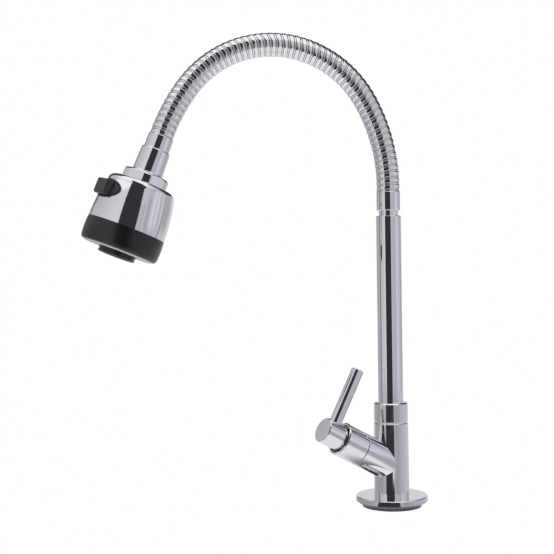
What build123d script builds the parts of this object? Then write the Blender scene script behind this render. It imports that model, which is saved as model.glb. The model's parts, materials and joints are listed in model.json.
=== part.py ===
from build123d import *
import os
from math import cos, pi, radians, sin, sqrt

# A deck-mounted kitchen faucet with a side lever valve, a swivelling riser, a ribbed neck that
# is bent by hand and stays put, and a spray head that turns on the neck and has a push button.
# The origin is the centre of the deck seat. +Z runs up the riser, the neck arches over towards
# -X, and the valve housing leaves the body on the same side, turned a little towards -Y.
# All sizes are in millimetres and all angles in degrees.

# Clearances and cuts
fit_gap = 0.3
snug_gap = 0.05
running_gap = 0.04
overrun = 2.0

# Deck seat: rubber gasket and polished flange
gasket_radius = 22.8
gasket_height = 1.6
flange_radius = 27.45
flange_foot_radius = 23.4
flange_bevel_height = 2.6
flange_rim_height = 3.6
flange_edge_bevel = 0.5

# Threaded inlet shank and what clamps it under a worktop
shank_radius = 10.48
shank_bore_radius = 6.5
shank_spigot_radius = 8.2
shank_spigot_length = 9.5
shank_tail_length = 24.0
shank_lead_bevel = 1.2
shank_relief_width = 1.6
shank_relief_depth = 0.7
worktop_space = 28.0
clamp_gasket_radius = 19.5
clamp_gasket_height = 2.5
clamp_washer_radius = 21.0
clamp_washer_height = 1.5
fixing_nut_width = 30.0
fixing_nut_height = 7.0
nut_corner_bevel = 1.0

# Body column
body_foot_radius = 13.45
body_top_radius = 13.1
body_height = 55.9
body_edge_bevel = 0.35
inlet_way_radius = 4.5
outlet_way_radius = 2.5
outlet_way_offset = 4.7
outlet_way_height = 12.0

# Valve branch: its axis leaves the column at branch_drop below the spout socket's floor
branch_drop = 19.0
branch_rise = 28.0
branch_turn = 16.0
branch_radius = 12.8
stub_length = 33.1
cartridge_bore_radius = 9.5
cartridge_bore_floor = 8.0

# Quarter-turn cartridge, measured along the branch
seal_length = 2.2
seal_hole_radius = 4.4
disc_radius = 6.4
disc_thickness = 3.0
disc_port_radius = 1.5
disc_port_offset = 3.4
cavity_radius = 6.6
cartridge_window_radius = 2.0
cartridge_groove_radius = 7.9
cartridge_groove_length = 9.0
cartridge_groove_start = 1.4
cartridge_hex_width = 17.8
cartridge_hex_length = 5.0
cartridge_neck_radius = 7.0
cartridge_neck_length = 7.9
spindle_foot_radius = 6.3
spindle_foot_length = 2.4
spindle_radius = 4.0
spindle_seal_thickness = 1.5
spindle_seal_inset = 5.0
spindle_clip_radius = 5.6
spindle_clip_thickness = 0.8
spindle_clip_depth = 0.9
clip_opening = 2.4

# Bonnet sleeve over the cartridge
seam_gap = 0.25
sleeve_length = 19.4
sleeve_cavity_length = 6.4
sleeve_cavity_radius = 10.9
sleeve_web_length = 4.5
sleeve_mouth_radius = 10.7
sleeve_mouth_bevel = 0.7
sleeve_foot_bevel = 0.25

# Lever: hub and rod
hub_radius = 9.6
hub_length = 19.5
hub_end_bevel = 0.5
hub_inset = 3.2
hub_socket_length = 8.0
rod_station = 11.9
rod_radius = 4.75
rod_reach = 52.5
rod_end_round = 0.9
rod_seat_height = 7.9
rod_seat_radius = 5.15
rod_spigot_radius = 3.0
rod_spigot_length = 5.5
set_screw_radius = 1.5
set_screw_station = 5.6
set_screw_key_width = 1.4
set_screw_key_depth = 1.8

# Swivel joint between body and riser
socket_radius = 9.3
socket_depth = 14.2
insert_radius = 9.0
insert_bore_radius = 6.0
insert_spigot_length = 11.5
swivel_washer_radius = 12.3
swivel_washer_height = 1.0
spout_seal_thickness = 1.8
spout_seal_spacing = 4.0
spout_seal_height = 7.0
retaining_ring_height = 1.2
retaining_ring_station = 2.9
retaining_ring_radius = 9.95
retaining_ring_width = 1.5
retaining_ring_play = 0.4
collar_radius = 13.0
collar_height = 14.6
collar_seat = 1.2
collar_top_bevel = 0.9

# Riser tube, its top plug and the lower ferrule
tube_radius = 9.525
tube_wall = 1.2
tube_length = 156.8
plug_depth = 14.0
plug_neck_radius = 7.35
plug_neck_length = 3.9
plug_seat_length = 4.8
nipple_radius = 4.1
nipple_bore_radius = 2.9
nipple_length = 13.0
ferrule_radius = 9.05
ferrule_length = 15.0
ferrule_edge_bevel = 0.7

# Ribbed neck: straight ends joined by three tangent arcs
neck_straight = 3.3
neck_arc_radii = (132.4, 81.7, 146.5)
neck_arc_turns = (29.7, 113.5, 15.3)
neck_radius = 8.9
neck_groove_radius = 7.75
neck_groove_floor = 1.25
neck_groove_flank = 0.3
neck_spigot_length = 10.0
end_section_ribs = 4
moving_section_ribs = 5
moving_section_count = 10
inner_hose_radius = 5.6
inner_hose_wall = 1.4
inner_hose_end = 8.5

# Upper ferrule and head connector, measured down the head axis from the neck's end
upper_ferrule_radius = 9.5
upper_ferrule_length = 10.8
upper_ferrule_web = 1.1
connector_length = 19.2
connector_top_radius = 10.8
connector_foot_radius = 11.4
connector_lip_radius = 11.75
connector_lip_length = 1.1
connector_top_round = 1.2
connector_bore_radius = 7.0
connector_nipple_length = 12.0
connector_stub_radius = 10.6
connector_stub_length = 2.4
connector_flange_radius = 13.2
connector_flange_length = 1.8

# Union nut on the head
union_gap = 0.25
union_width = 33.2
union_corner_radius = 17.5
union_length = 7.2
union_web = 1.9
union_hole_radius = 10.9
union_bore_radius = 14.2
union_top_radius = 16.2
union_top_bevel = 1.3
union_washer_length = 1.0

# Head shell: its curved side draws in from the foot to the top
shell_gap = 0.6
shell_length = 34.9
shell_wall = 1.8
shell_hole_radius = 14.2
shell_shoulder_round = 4.4
shell_foot_radius = 29.15
shell_middle_inset = 1.2
shell_top_inset = 3.65
shell_middle_share = 0.5

# Spray core inside the shell
core_spigot_radius = 13.9
core_spigot_bore = 9.0
core_plate_inset = 3.6
core_plate_thickness = 2.5
core_plate_rim = 1.0
core_wall = 1.5
core_tube_radius = 9.5
core_tube_bore = 7.5
core_flange_thickness = 2.0
core_flange_height = 2.6

# Black spray ring, pale spray plate
spray_ring_length = 17.0
spray_ring_belly_bulge = 0.4
spray_ring_foot_inset = 0.35
spray_ring_belly_share = 0.4
spray_ring_foot_round = 2.2
spray_ring_wall = 2.85
spray_ring_lip_gap = 0.45
spray_ring_lip_wall = 1.4
spray_ring_lip_length = 6.0
spray_ring_ledge_width = 3.2
spray_ring_ledge_thickness = 2.0
plate_gap = 0.35
plate_thickness = 3.6
plate_proud = 0.7
plate_skirt = 1.5
plate_hole_radius = 14.4
plate_edge_bevel = 0.6
spray_hole_radius = 0.65
spray_row_shares = (0.21, 0.45, 0.70)
spray_row_counts = (18, 22, 26)

# Central aerator
aerator_radius = 14.0
aerator_proud = 4.9
aerator_skirt_length = 9.0
aerator_collar_length = 10.0
aerator_collar_radius = 12.0
aerator_bore_radius = 10.9
aerator_rim_round = 1.3
aerator_groove_depth = 0.5
aerator_groove_width = 0.9
aerator_groove_station = 2.6
insert_disc_wall = 1.2
jet_count = 6
jet_radius = 1.5
jet_offset = 4.1
mesh_thickness = 0.5
mesh_recess = 1.4
mesh_rim = 1.3
mesh_pitch = 2.1
mesh_hole_width = 1.5

# Push button on the head's side
button_turn = 65.0
button_station = 12.9
button_half_width = 14.9
button_half_height = 7.4
button_rim = 0.75
bezel_proud = 0.45
bezel_depth = 2.6
button_proud = 0.9
button_thickness = 2.6
paddle_reach = 4.9
paddle_width = 16.5
paddle_height = 11.4
paddle_round = 1.4
stem_radius = 2.4
stem_inner_end = 6.5
plunger_radius = 3.1
plunger_length = 1.6
spring_wire_radius = 0.25
spring_radius = 3.6
spring_turns = 3


# Places worked out from the sizes
seat_height = gasket_height + flange_bevel_height + flange_rim_height + flange_edge_bevel
body_top = seat_height + body_height
socket_floor = body_top - socket_depth
branch_height = socket_floor - branch_drop
shank_hole_radius = shank_radius + fit_gap
clamp_low = -worktop_space - clamp_gasket_height - clamp_washer_height
nut_low = clamp_low - fixing_nut_height
collar_low = body_top + swivel_washer_height
tube_low = collar_low + collar_seat
tube_high = tube_low + tube_length
tube_bore_radius = tube_radius - tube_wall
ferrule_low = tube_high + plug_neck_length
neck_low = ferrule_low + ferrule_length
ferrule_bore_radius = neck_groove_radius + snug_gap
spigot_floor = neck_low - neck_spigot_length
neck_bore_radius = inner_hose_radius + snug_gap
rib_count = 2 * end_section_ribs + moving_section_ribs * moving_section_count
neck_length = 2 * neck_straight + sum(
    radius * radians(turn) for radius, turn in zip(neck_arc_radii, neck_arc_turns)
)
rib_pitch = neck_length / rib_count
neck_turn = sum(neck_arc_turns)

cartridge_low = cartridge_bore_floor + fit_gap
fixed_disc_low = cartridge_bore_floor + seal_length
moving_disc_low = fixed_disc_low + disc_thickness + running_gap
spindle_low = moving_disc_low + disc_thickness
cavity_high = spindle_low + spindle_foot_length + fit_gap
cartridge_high = stub_length + cartridge_hex_length + cartridge_neck_length
gland_radius = spindle_radius + running_gap
sleeve_low = stub_length + seam_gap
sleeve_high = sleeve_low + sleeve_length
hub_low = sleeve_high - hub_inset
hub_high = hub_low + hub_length
rod_axis = hub_low + rod_station
clip_station = cartridge_high + fit_gap

connector_top = upper_ferrule_length
connector_foot = connector_top + connector_length
union_top = connector_foot + union_gap
union_foot = union_top + union_length
flange_top = connector_foot + connector_stub_length
flange_foot = flange_top + connector_flange_length
core_top = flange_foot + union_washer_length + snug_gap
shell_top = union_foot + shell_gap
shell_foot = shell_top + shell_length
plate_inner_top = shell_top + shell_wall + snug_gap
ring_foot = shell_foot + spray_ring_length
core_foot = shell_foot - core_flange_height + core_flange_thickness
ledge_top = core_foot + snug_gap
ledge_foot = ledge_top + spray_ring_ledge_thickness
plate_foot = ring_foot + plate_proud
aerator_foot = ring_foot + aerator_proud
aerator_top = aerator_foot - aerator_skirt_length - aerator_collar_length
button_height = shell_top + button_station

shell_middle_radius = shell_foot_radius - shell_middle_inset
shell_top_radius = shell_foot_radius - shell_top_inset
core_plate_radius = shell_top_radius - shell_wall - core_plate_inset
core_wall_radius = core_plate_radius - core_plate_rim
spray_ring_inner_radius = shell_foot_radius - spray_ring_wall
spray_ring_lip_radius = shell_foot_radius - shell_wall - spray_ring_lip_gap
spray_ring_lip_inner = spray_ring_lip_radius - spray_ring_lip_wall
core_flange_radius = spray_ring_lip_inner - fit_gap
plate_radius = spray_ring_inner_radius - plate_gap
plate_width = plate_radius - plate_hole_radius


# Shapes that are used again and again
def turned(outline, rounds=()):
    """Solid of revolution about Z from (radius, height) corners; rounds holds (corner, radius)."""
    face = Polygon(*outline, align=None)
    for corner, radius in rounds:
        vertex = face.vertices().sort_by_distance(Vector(*outline[corner]))[0]
        face = fillet(vertex, radius)
    return revolve(Plane.XZ * face, Axis.Z)


def washer(outer, inner, low, high):
    """Flat ring about Z."""
    return turned([(inner, low), (outer, low), (outer, high), (inner, high)])


def rod(radius, low, high):
    """Cylinder about Z."""
    return turned([(0, low), (radius, low), (radius, high), (0, high)])


def hexagon(width, low, high):
    """Hexagonal prism about Z, given across its flats, with one corner towards X."""
    outline = RegularPolygon(width / 2, 6, major_radius=False)
    return Pos(0, 0, low) * extrude(outline, high - low)


def oval_bar(half_width, half_height, start, end):
    """Elliptical bar along X, wide along Y and high along Z."""
    outline = Ellipse(half_width, half_height)
    return extrude(Plane.YZ.offset(start) * outline, end - start)


def seal_ring(inner, outer, height):
    """Round-section ring that fills the space from inner to outer at a height."""
    thickness = (outer - inner) / 2
    return Pos(0, 0, height) * Torus(inner + thickness, thickness)


def open_ring(outer, inner, low, high, opening):
    """Flat ring with a gap towards -X."""
    gap = Pos(-outer, 0, (low + high) / 2) * Box(2 * (outer - inner) + outer, opening, 2 * (high - low))
    return washer(outer, inner, low, high) - gap


def branch_place():
    """Place whose Z runs out along the valve branch and whose X points up the lever rod."""
    rise, turn = radians(branch_rise), radians(branch_turn)
    along = (-cos(turn) * cos(rise), -sin(turn) * cos(rise), sin(rise))
    upward = (cos(turn) * sin(rise), sin(turn) * sin(rise), cos(rise))
    return Plane(origin=(0, 0, branch_height), x_dir=upward, z_dir=along).location


def neck_point(distance):
    """Plane square to the neck at a distance from its lower end; X stays across the arch."""
    heading = 0
    point = Vector(0, 0, neck_low)
    left = distance
    step = min(left, neck_straight)
    point += Vector(0, 0, step)
    left -= step
    for radius, turn in zip(neck_arc_radii, neck_arc_turns):
        swept = min(left / radius, radians(turn))
        inward = Vector(-cos(heading), 0, -sin(heading))
        heading += swept
        turned_inward = Vector(-cos(heading), 0, -sin(heading))
        point += radius * inward - radius * turned_inward
        left -= radius * swept
    along = Vector(-sin(heading), 0, cos(heading))
    return Plane(origin=point + left * along, x_dir=(0, 1, 0), z_dir=along)


def head_place():
    """Place whose Z runs down the head axis from the neck's end and whose X faces -Y."""
    end = neck_point(neck_length)
    return Plane(origin=end.origin, x_dir=(0, -1, 0), z_dir=end.z_dir).location


# Deck seat and clamp
def base_gasket():
    return washer(gasket_radius, shank_hole_radius, 0, gasket_height)


def base_flange():
    bevel_high = gasket_height + flange_bevel_height
    rim_high = bevel_high + flange_rim_height
    return turned([
        (shank_hole_radius, gasket_height),
        (flange_foot_radius, gasket_height),
        (flange_radius, bevel_high),
        (flange_radius, rim_high),
        (flange_radius - flange_edge_bevel, seat_height),
        (shank_hole_radius, seat_height),
    ])


def inlet_shank():
    low = nut_low - shank_tail_length
    high = seat_height + shank_spigot_length
    relief_high = nut_low - shank_relief_width / 2
    relief_low = relief_high - shank_relief_width
    relief_radius = shank_radius - shank_relief_depth
    return turned([
        (shank_bore_radius, low),
        (shank_radius - shank_lead_bevel, low),
        (shank_radius, low + shank_lead_bevel),
        (shank_radius, relief_low),
        (relief_radius, relief_low),
        (relief_radius, relief_high),
        (shank_radius, relief_high),
        (shank_radius, seat_height - snug_gap),
        (shank_spigot_radius, seat_height - snug_gap),
        (shank_spigot_radius, high),
        (shank_bore_radius, high),
    ])


def clamp_gasket():
    low = -worktop_space - clamp_gasket_height
    return washer(clamp_gasket_radius, shank_hole_radius, low, -worktop_space)


def clamp_washer():
    return washer(clamp_washer_radius, shank_hole_radius, clamp_low, clamp_low + clamp_washer_height)


def fixing_nut():
    corner = fixing_nut_width / sqrt(3)
    bevelled = turned([
        (0, nut_low),
        (corner - nut_corner_bevel, nut_low),
        (corner, nut_low + nut_corner_bevel),
        (corner, clamp_low - nut_corner_bevel),
        (corner - nut_corner_bevel, clamp_low),
        (0, clamp_low),
    ])
    bore = rod(shank_radius + snug_gap, nut_low - overrun, clamp_low + overrun)
    return (hexagon(fixing_nut_width, nut_low, clamp_low) & bevelled) - bore


# Tap body with its branch stub, bored for the inlet, the cartridge and the spout
def tap_body():
    column = turned([
        (0, seat_height),
        (body_foot_radius, seat_height),
        (body_top_radius, body_top - body_edge_bevel),
        (body_top_radius - body_edge_bevel, body_top),
        (0, body_top),
    ])
    place = branch_place()
    stub = place * rod(branch_radius, 0, stub_length)
    body = column + stub
    body -= rod(socket_radius, socket_floor, body_top + overrun)
    groove_low = socket_floor + retaining_ring_station - retaining_ring_play / 2
    groove_high = groove_low + retaining_ring_height + retaining_ring_play
    body -= rod(retaining_ring_radius + snug_gap, groove_low, groove_high)
    body -= rod(shank_spigot_radius + snug_gap, seat_height - overrun, seat_height + shank_spigot_length)
    body -= rod(inlet_way_radius, seat_height, branch_height)
    body -= place * rod(inlet_way_radius, 0, cartridge_bore_floor + overrun)
    body -= place * rod(cartridge_bore_radius, cartridge_bore_floor, stub_length + overrun)
    turn = radians(branch_turn)
    outlet = Pos(-outlet_way_offset * cos(turn), -outlet_way_offset * sin(turn), 0)
    way_low = branch_height + outlet_way_height
    body -= outlet * rod(outlet_way_radius, way_low, socket_floor + overrun)
    return body


# Quarter-turn valve
def cartridge_seal():
    return washer(disc_radius, seal_hole_radius, cartridge_bore_floor, fixed_disc_low)


def ported_disc(low, port_turn):
    disc = rod(disc_radius, low, low + disc_thickness)
    for side in (0, 180):
        port = rod(disc_port_radius, low - overrun, low + disc_thickness + overrun)
        disc -= Rot(0, 0, side + port_turn) * Pos(disc_port_offset, 0, 0) * port
    return disc


def cartridge_body():
    groove_low = cartridge_low + cartridge_groove_start
    groove_high = groove_low + cartridge_groove_length
    outer_radius = cartridge_bore_radius - fit_gap
    barrel = turned([
        (cavity_radius, cartridge_low),
        (outer_radius, cartridge_low),
        (outer_radius, groove_low),
        (cartridge_groove_radius, groove_low),
        (cartridge_groove_radius, groove_high),
        (outer_radius, groove_high),
        (outer_radius, stub_length),
        (cartridge_neck_radius, stub_length),
        (cartridge_neck_radius, cartridge_high),
        (gland_radius, cartridge_high),
        (gland_radius, cavity_high),
        (cavity_radius, cavity_high),
    ])
    hex_high = stub_length + cartridge_hex_length
    nut = hexagon(cartridge_hex_width, stub_length, hex_high)
    nut -= rod(cartridge_neck_radius, stub_length - overrun, hex_high + overrun)
    body = barrel + nut
    window = rod(cartridge_window_radius, 0, cartridge_bore_radius)
    station = (moving_disc_low + cavity_high) / 2
    return body - Pos(0, 0, station) * Rot(0, 90, 0) * window


def valve_spindle():
    foot_high = spindle_low + spindle_foot_length
    spindle = rod(spindle_foot_radius, spindle_low, foot_high)
    spindle += rod(spindle_radius, foot_high, hub_low + hub_socket_length - snug_gap)
    groove_radius = spindle_radius - spindle_seal_thickness
    for height in spindle_seal_heights():
        half = spindle_seal_thickness / 2 + snug_gap
        spindle -= washer(spindle_radius + overrun, groove_radius, height - half, height + half)
    clip_high = clip_station + spindle_clip_thickness
    groove_floor = spindle_radius - spindle_clip_depth
    spindle -= washer(spindle_radius + overrun, groove_floor, clip_station, clip_high)
    return spindle


def spindle_seal_heights():
    """Two seals, the same distance in from each end of the gland."""
    return cavity_high + spindle_seal_inset, cartridge_high - spindle_seal_inset


def spindle_seals():
    inner = spindle_radius - spindle_seal_thickness + snug_gap
    return [seal_ring(inner, spindle_radius, height) for height in spindle_seal_heights()]


def spindle_clip():
    inner = spindle_radius - spindle_clip_depth + snug_gap
    low = clip_station + snug_gap
    high = clip_station + spindle_clip_thickness - snug_gap
    return open_ring(spindle_clip_radius, inner, low, high, clip_opening)


def bonnet_sleeve():
    cavity_top = sleeve_low + sleeve_cavity_length
    web_top = cavity_top + sleeve_web_length
    web_radius = cartridge_neck_radius + snug_gap
    return turned([
        (sleeve_cavity_radius, sleeve_low),
        (branch_radius - sleeve_foot_bevel, sleeve_low),
        (branch_radius, sleeve_low + sleeve_foot_bevel),
        (branch_radius, sleeve_high - sleeve_mouth_bevel),
        (branch_radius - sleeve_mouth_bevel, sleeve_high),
        (sleeve_mouth_radius + sleeve_mouth_bevel, sleeve_high),
        (sleeve_mouth_radius, sleeve_high - sleeve_mouth_bevel),
        (sleeve_mouth_radius, web_top),
        (web_radius, web_top),
        (web_radius, cavity_top),
        (sleeve_cavity_radius, cavity_top),
    ])


# Lever
def lever_hub():
    hub = turned([
        (0, hub_low),
        (hub_radius - hub_end_bevel, hub_low),
        (hub_radius, hub_low + hub_end_bevel),
        (hub_radius, hub_high - hub_end_bevel),
        (hub_radius - hub_end_bevel, hub_high),
        (0, hub_high),
    ])
    hub -= rod(spindle_radius + snug_gap, hub_low - overrun, hub_low + hub_socket_length)
    across = Pos(0, 0, rod_axis) * Rot(0, 90, 0)
    hub -= across * rod(rod_seat_radius, rod_seat_height, hub_radius + overrun)
    spigot_end = rod_seat_height - rod_spigot_length - snug_gap
    hub -= across * rod(rod_spigot_radius + snug_gap, spigot_end, hub_radius)
    screw = Pos(0, 0, hub_low + set_screw_station) * Rot(0, -90, 0)
    hub -= screw * rod(set_screw_radius + snug_gap, 0, hub_radius + overrun)
    return hub


def lever_rod():
    stick = turned([
        (0, rod_seat_height - rod_spigot_length),
        (rod_spigot_radius, rod_seat_height - rod_spigot_length),
        (rod_spigot_radius, rod_seat_height),
        (rod_radius, rod_seat_height),
        (rod_radius, rod_reach),
        (0, rod_reach),
    ], rounds=[(4, rod_end_round)])
    return Pos(0, 0, rod_axis) * Rot(0, 90, 0) * stick


def hub_set_screw():
    low = spindle_radius + snug_gap
    high = hub_radius - set_screw_radius / 2
    screw = rod(set_screw_radius, low, high)
    screw -= hexagon(set_screw_key_width, high - set_screw_key_depth, high + overrun)
    return Pos(0, 0, hub_low + set_screw_station) * Rot(0, -90, 0) * screw


# Swivel, riser and lower ferrule
def spout_insert():
    foot = socket_floor + fit_gap
    spigot_radius = tube_bore_radius - snug_gap
    spigot_top = tube_low + insert_spigot_length
    insert = turned([
        (insert_bore_radius, foot),
        (insert_radius, foot),
        (insert_radius, tube_low),
        (spigot_radius, tube_low),
        (spigot_radius, spigot_top),
        (insert_bore_radius, spigot_top),
    ])
    seal_floor = socket_radius - spout_seal_thickness - 2 * snug_gap
    for height in spout_seal_heights():
        half = spout_seal_thickness / 2 + snug_gap
        insert -= washer(socket_radius + overrun, seal_floor, height - half, height + half)
    groove_low = socket_floor + retaining_ring_station - retaining_ring_play
    groove_high = groove_low + retaining_ring_height + 2 * retaining_ring_play
    groove_radius = retaining_ring_radius - retaining_ring_width - fit_gap
    return insert - washer(socket_radius + overrun, groove_radius, groove_low, groove_high)


def spout_seal_heights():
    return socket_floor + spout_seal_height, socket_floor + spout_seal_height + spout_seal_spacing


def spout_seals():
    outer = socket_radius - snug_gap
    return [seal_ring(outer - spout_seal_thickness, outer, height) for height in spout_seal_heights()]


def retaining_ring():
    low = socket_floor + retaining_ring_station
    inner = retaining_ring_radius - retaining_ring_width
    return open_ring(retaining_ring_radius, inner, low, low + retaining_ring_height, clip_opening)


def swivel_washer():
    return washer(swivel_washer_radius, insert_radius + fit_gap, body_top + snug_gap, collar_low)


def swivel_collar():
    top = collar_low + collar_height
    return turned([
        (insert_radius + snug_gap, collar_low),
        (collar_radius - body_edge_bevel, collar_low),
        (collar_radius, collar_low + body_edge_bevel),
        (collar_radius, top - collar_top_bevel),
        (collar_radius - collar_top_bevel, top),
        (tube_radius + snug_gap, top),
        (tube_radius + snug_gap, tube_low),
        (insert_radius + snug_gap, tube_low),
    ])


def riser_tube():
    return washer(tube_radius, tube_bore_radius, tube_low, tube_high)


def riser_plug():
    foot = tube_high - plug_depth
    spigot_radius = tube_bore_radius - snug_gap
    neck_top = ferrule_low + plug_seat_length
    return turned([
        (nipple_bore_radius, foot),
        (spigot_radius, foot),
        (spigot_radius, tube_high),
        (plug_neck_radius, tube_high),
        (plug_neck_radius, neck_top),
        (nipple_radius, neck_top),
        (nipple_radius, neck_top + nipple_length),
        (nipple_bore_radius, neck_top + nipple_length),
    ])


def lower_ferrule():
    return turned([
        (plug_neck_radius + snug_gap, ferrule_low),
        (ferrule_radius - ferrule_edge_bevel, ferrule_low),
        (ferrule_radius, ferrule_low + ferrule_edge_bevel),
        (ferrule_radius, neck_low - ferrule_edge_bevel),
        (ferrule_radius - ferrule_edge_bevel, neck_low),
        (ferrule_bore_radius, neck_low),
        (ferrule_bore_radius, spigot_floor),
        (plug_neck_radius + snug_gap, spigot_floor),
    ])


# Ribbed neck, in short lengths that meet in its grooves
def neck_circle(distance, radius):
    return neck_point(distance) * Circle(radius)


def rib_circles(number):
    """The four circles of one rib: up one flank, along its crown and down the other flank."""
    low = number * rib_pitch + neck_groove_floor / 2
    high = (number + 1) * rib_pitch - neck_groove_floor / 2
    return [
        neck_circle(low, neck_groove_radius),
        neck_circle(low + neck_groove_flank, neck_radius),
        neck_circle(high - neck_groove_flank, neck_radius),
        neck_circle(high, neck_groove_radius),
    ]


def neck_section(first_rib, ribs):
    """One length of the neck; the end lengths also have a plain spigot for their ferrule."""
    circles = []
    if first_rib == 0:
        circles.append(neck_circle(-neck_spigot_length + snug_gap, neck_groove_radius))
    for number in range(first_rib, first_rib + ribs):
        circles += rib_circles(number)
    if first_rib + ribs == rib_count:
        spigot_end = neck_length + neck_spigot_length - upper_ferrule_web
        circles.append(neck_circle(spigot_end, neck_groove_radius))
    low = first_rib * rib_pitch
    high = (first_rib + ribs) * rib_pitch
    if first_rib == 0:
        low -= neck_spigot_length
    if first_rib + ribs == rib_count:
        high += neck_spigot_length
    steps = 2 * ribs
    span = high - low + 2 * overrun
    bore = [
        neck_circle(low - overrun + span * number / steps, neck_bore_radius) for number in range(steps + 1)
    ]
    return loft(circles, ruled=True) - loft(bore, ruled=True)


def neck_sections():
    """Every length of the neck, by first rib: an end length, the moving ones, an end length."""
    counts = [end_section_ribs] + [moving_section_ribs] * moving_section_count + [end_section_ribs]
    sections, first_rib = [], 0
    for ribs in counts:
        sections.append(neck_section(first_rib, ribs))
        first_rib += ribs
    return sections


def inner_hose():
    """Rubber water hose inside the neck, pushed over the plug's and the connector's nipples."""
    low = -neck_spigot_length + fit_gap
    high = neck_length + inner_hose_end
    first = neck_point(low)
    stops = [low, neck_straight]
    for radius, turn in zip(neck_arc_radii, neck_arc_turns):
        stops.append(stops[-1] + radius * radians(turn))
    path = Line(neck_point(stops[0]).origin, neck_point(stops[1]).origin)
    for start, end in zip(stops[1:-1], stops[2:]):
        middle = neck_point((start + end) / 2).origin
        path += ThreePointArc(neck_point(start).origin, middle, neck_point(end).origin)
    path += Line(neck_point(stops[-1]).origin, neck_point(high).origin)
    section = Circle(inner_hose_radius) - Circle(inner_hose_radius - inner_hose_wall)
    return sweep(first * section, path=path)


# Upper ferrule and connector, built down the head axis
def upper_ferrule():
    web_top = upper_ferrule_length - upper_ferrule_web
    return turned([
        (ferrule_bore_radius, 0),
        (upper_ferrule_radius - ferrule_edge_bevel, 0),
        (upper_ferrule_radius, ferrule_edge_bevel),
        (upper_ferrule_radius, upper_ferrule_length),
        (nipple_radius + snug_gap, upper_ferrule_length),
        (nipple_radius + snug_gap, web_top),
        (ferrule_bore_radius, web_top),
    ])


def head_connector():
    lip_top = connector_foot - connector_lip_length
    nipple_top = connector_top - connector_nipple_length
    bore_top = connector_top + connector_top_round
    return turned([
        (nipple_bore_radius, nipple_top),
        (nipple_radius, nipple_top),
        (nipple_radius, connector_top),
        (connector_top_radius, connector_top),
        (connector_foot_radius, lip_top),
        (connector_lip_radius, lip_top + connector_lip_length / 2),
        (connector_lip_radius, connector_foot),
        (connector_stub_radius, connector_foot),
        (connector_stub_radius, flange_top),
        (connector_flange_radius, flange_top),
        (connector_flange_radius, flange_foot),
        (connector_bore_radius, flange_foot),
        (connector_bore_radius, bore_top),
        (nipple_bore_radius, bore_top),
    ], rounds=[(3, connector_top_round)])


# Spray head, built down the head axis
def union_nut():
    bevelled = turned([
        (0, union_top),
        (union_top_radius, union_top),
        (union_corner_radius, union_top + union_top_bevel),
        (union_corner_radius, union_foot),
        (0, union_foot),
    ])
    nut = hexagon(union_width, union_top, union_foot) & bevelled
    nut -= rod(union_hole_radius, union_top - overrun, union_foot)
    return nut - rod(union_bore_radius, union_top + union_web, union_foot + overrun)


def union_washer():
    return washer(connector_flange_radius, core_spigot_bore, flange_foot, flange_foot + union_washer_length)


def shell_side(offset):
    """Curved side of the shell, moved inwards by an offset."""
    middle = shell_top + shell_length * shell_middle_share
    return ThreePointArc(
        (shell_top_radius - offset, shell_top + shell_shoulder_round),
        (shell_middle_radius - offset, middle),
        (shell_foot_radius - offset, shell_foot),
    )


def shell_radius(station, depth):
    """Radius of the shell's side at a station below its top, at a depth under its face."""
    share = (station - shell_shoulder_round) / (shell_length - shell_shoulder_round)
    return (shell_side(depth) @ share).X


def shell_shoulder(offset):
    """Rounded shoulder between the shell's flat top and its side."""
    high = shell_top + offset
    low = shell_top + shell_shoulder_round
    return TangentArc(
        (shell_top_radius - offset, low),
        (shell_top_radius - shell_shoulder_round, high),
        tangent=(0, -1),
    )


def shell_face(offset):
    """Half section of the space within the shell's outline, from its top to its foot."""
    side, shoulder = shell_side(offset), shell_shoulder(offset)
    closing = Polyline(shoulder @ 1, (0, shell_top + offset), (0, shell_foot), side @ 1)
    return make_face([side, shoulder, closing])


def head_shell():
    solid = revolve(Plane.XZ * shell_face(0), Axis.Z)
    hollow = revolve(Plane.XZ * shell_face(shell_wall), Axis.Z)
    shell = solid - hollow
    shell -= rod(shell_hole_radius, shell_top - overrun, shell_top + shell_wall + overrun)
    return shell - button_opening(button_half_width + snug_gap, button_half_height + snug_gap)


def button_place():
    """Place on the head axis whose X points out through the button."""
    return Pos(0, 0, button_height) * Rot(0, 0, button_turn)


def button_opening(half_width, half_height):
    return button_place() * oval_bar(half_width, half_height, core_wall_radius, 2 * shell_foot_radius)


def side_layer(proud, depth):
    """Layer that follows the shell's side, from proud of its face to a depth below it."""
    outer = revolve(Plane.XZ * shell_face(-proud), Axis.Z)
    return outer - revolve(Plane.XZ * shell_face(depth), Axis.Z)


def spray_core():
    roof_foot = plate_inner_top + core_plate_thickness
    core = turned([
        (core_spigot_bore, core_top),
        (core_spigot_radius, core_top),
        (core_spigot_radius, plate_inner_top),
        (core_plate_radius, plate_inner_top),
        (core_plate_radius, roof_foot),
        (core_wall_radius, roof_foot),
        (core_wall_radius, core_foot - core_flange_thickness),
        (core_flange_radius, core_foot - core_flange_thickness),
        (core_flange_radius, core_foot),
        (core_wall_radius - core_wall, core_foot),
        (core_wall_radius - core_wall, roof_foot),
        (core_tube_radius, roof_foot),
        (core_tube_radius, aerator_top + aerator_collar_length - snug_gap),
        (core_tube_bore, aerator_top + aerator_collar_length - snug_gap),
        (core_tube_bore, plate_inner_top),
        (core_spigot_bore, plate_inner_top),
    ])
    passage = rod(stem_radius + fit_gap, core_tube_bore / 2, shell_foot_radius)
    return core - button_place() * Rot(0, 90, 0) * passage


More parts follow.
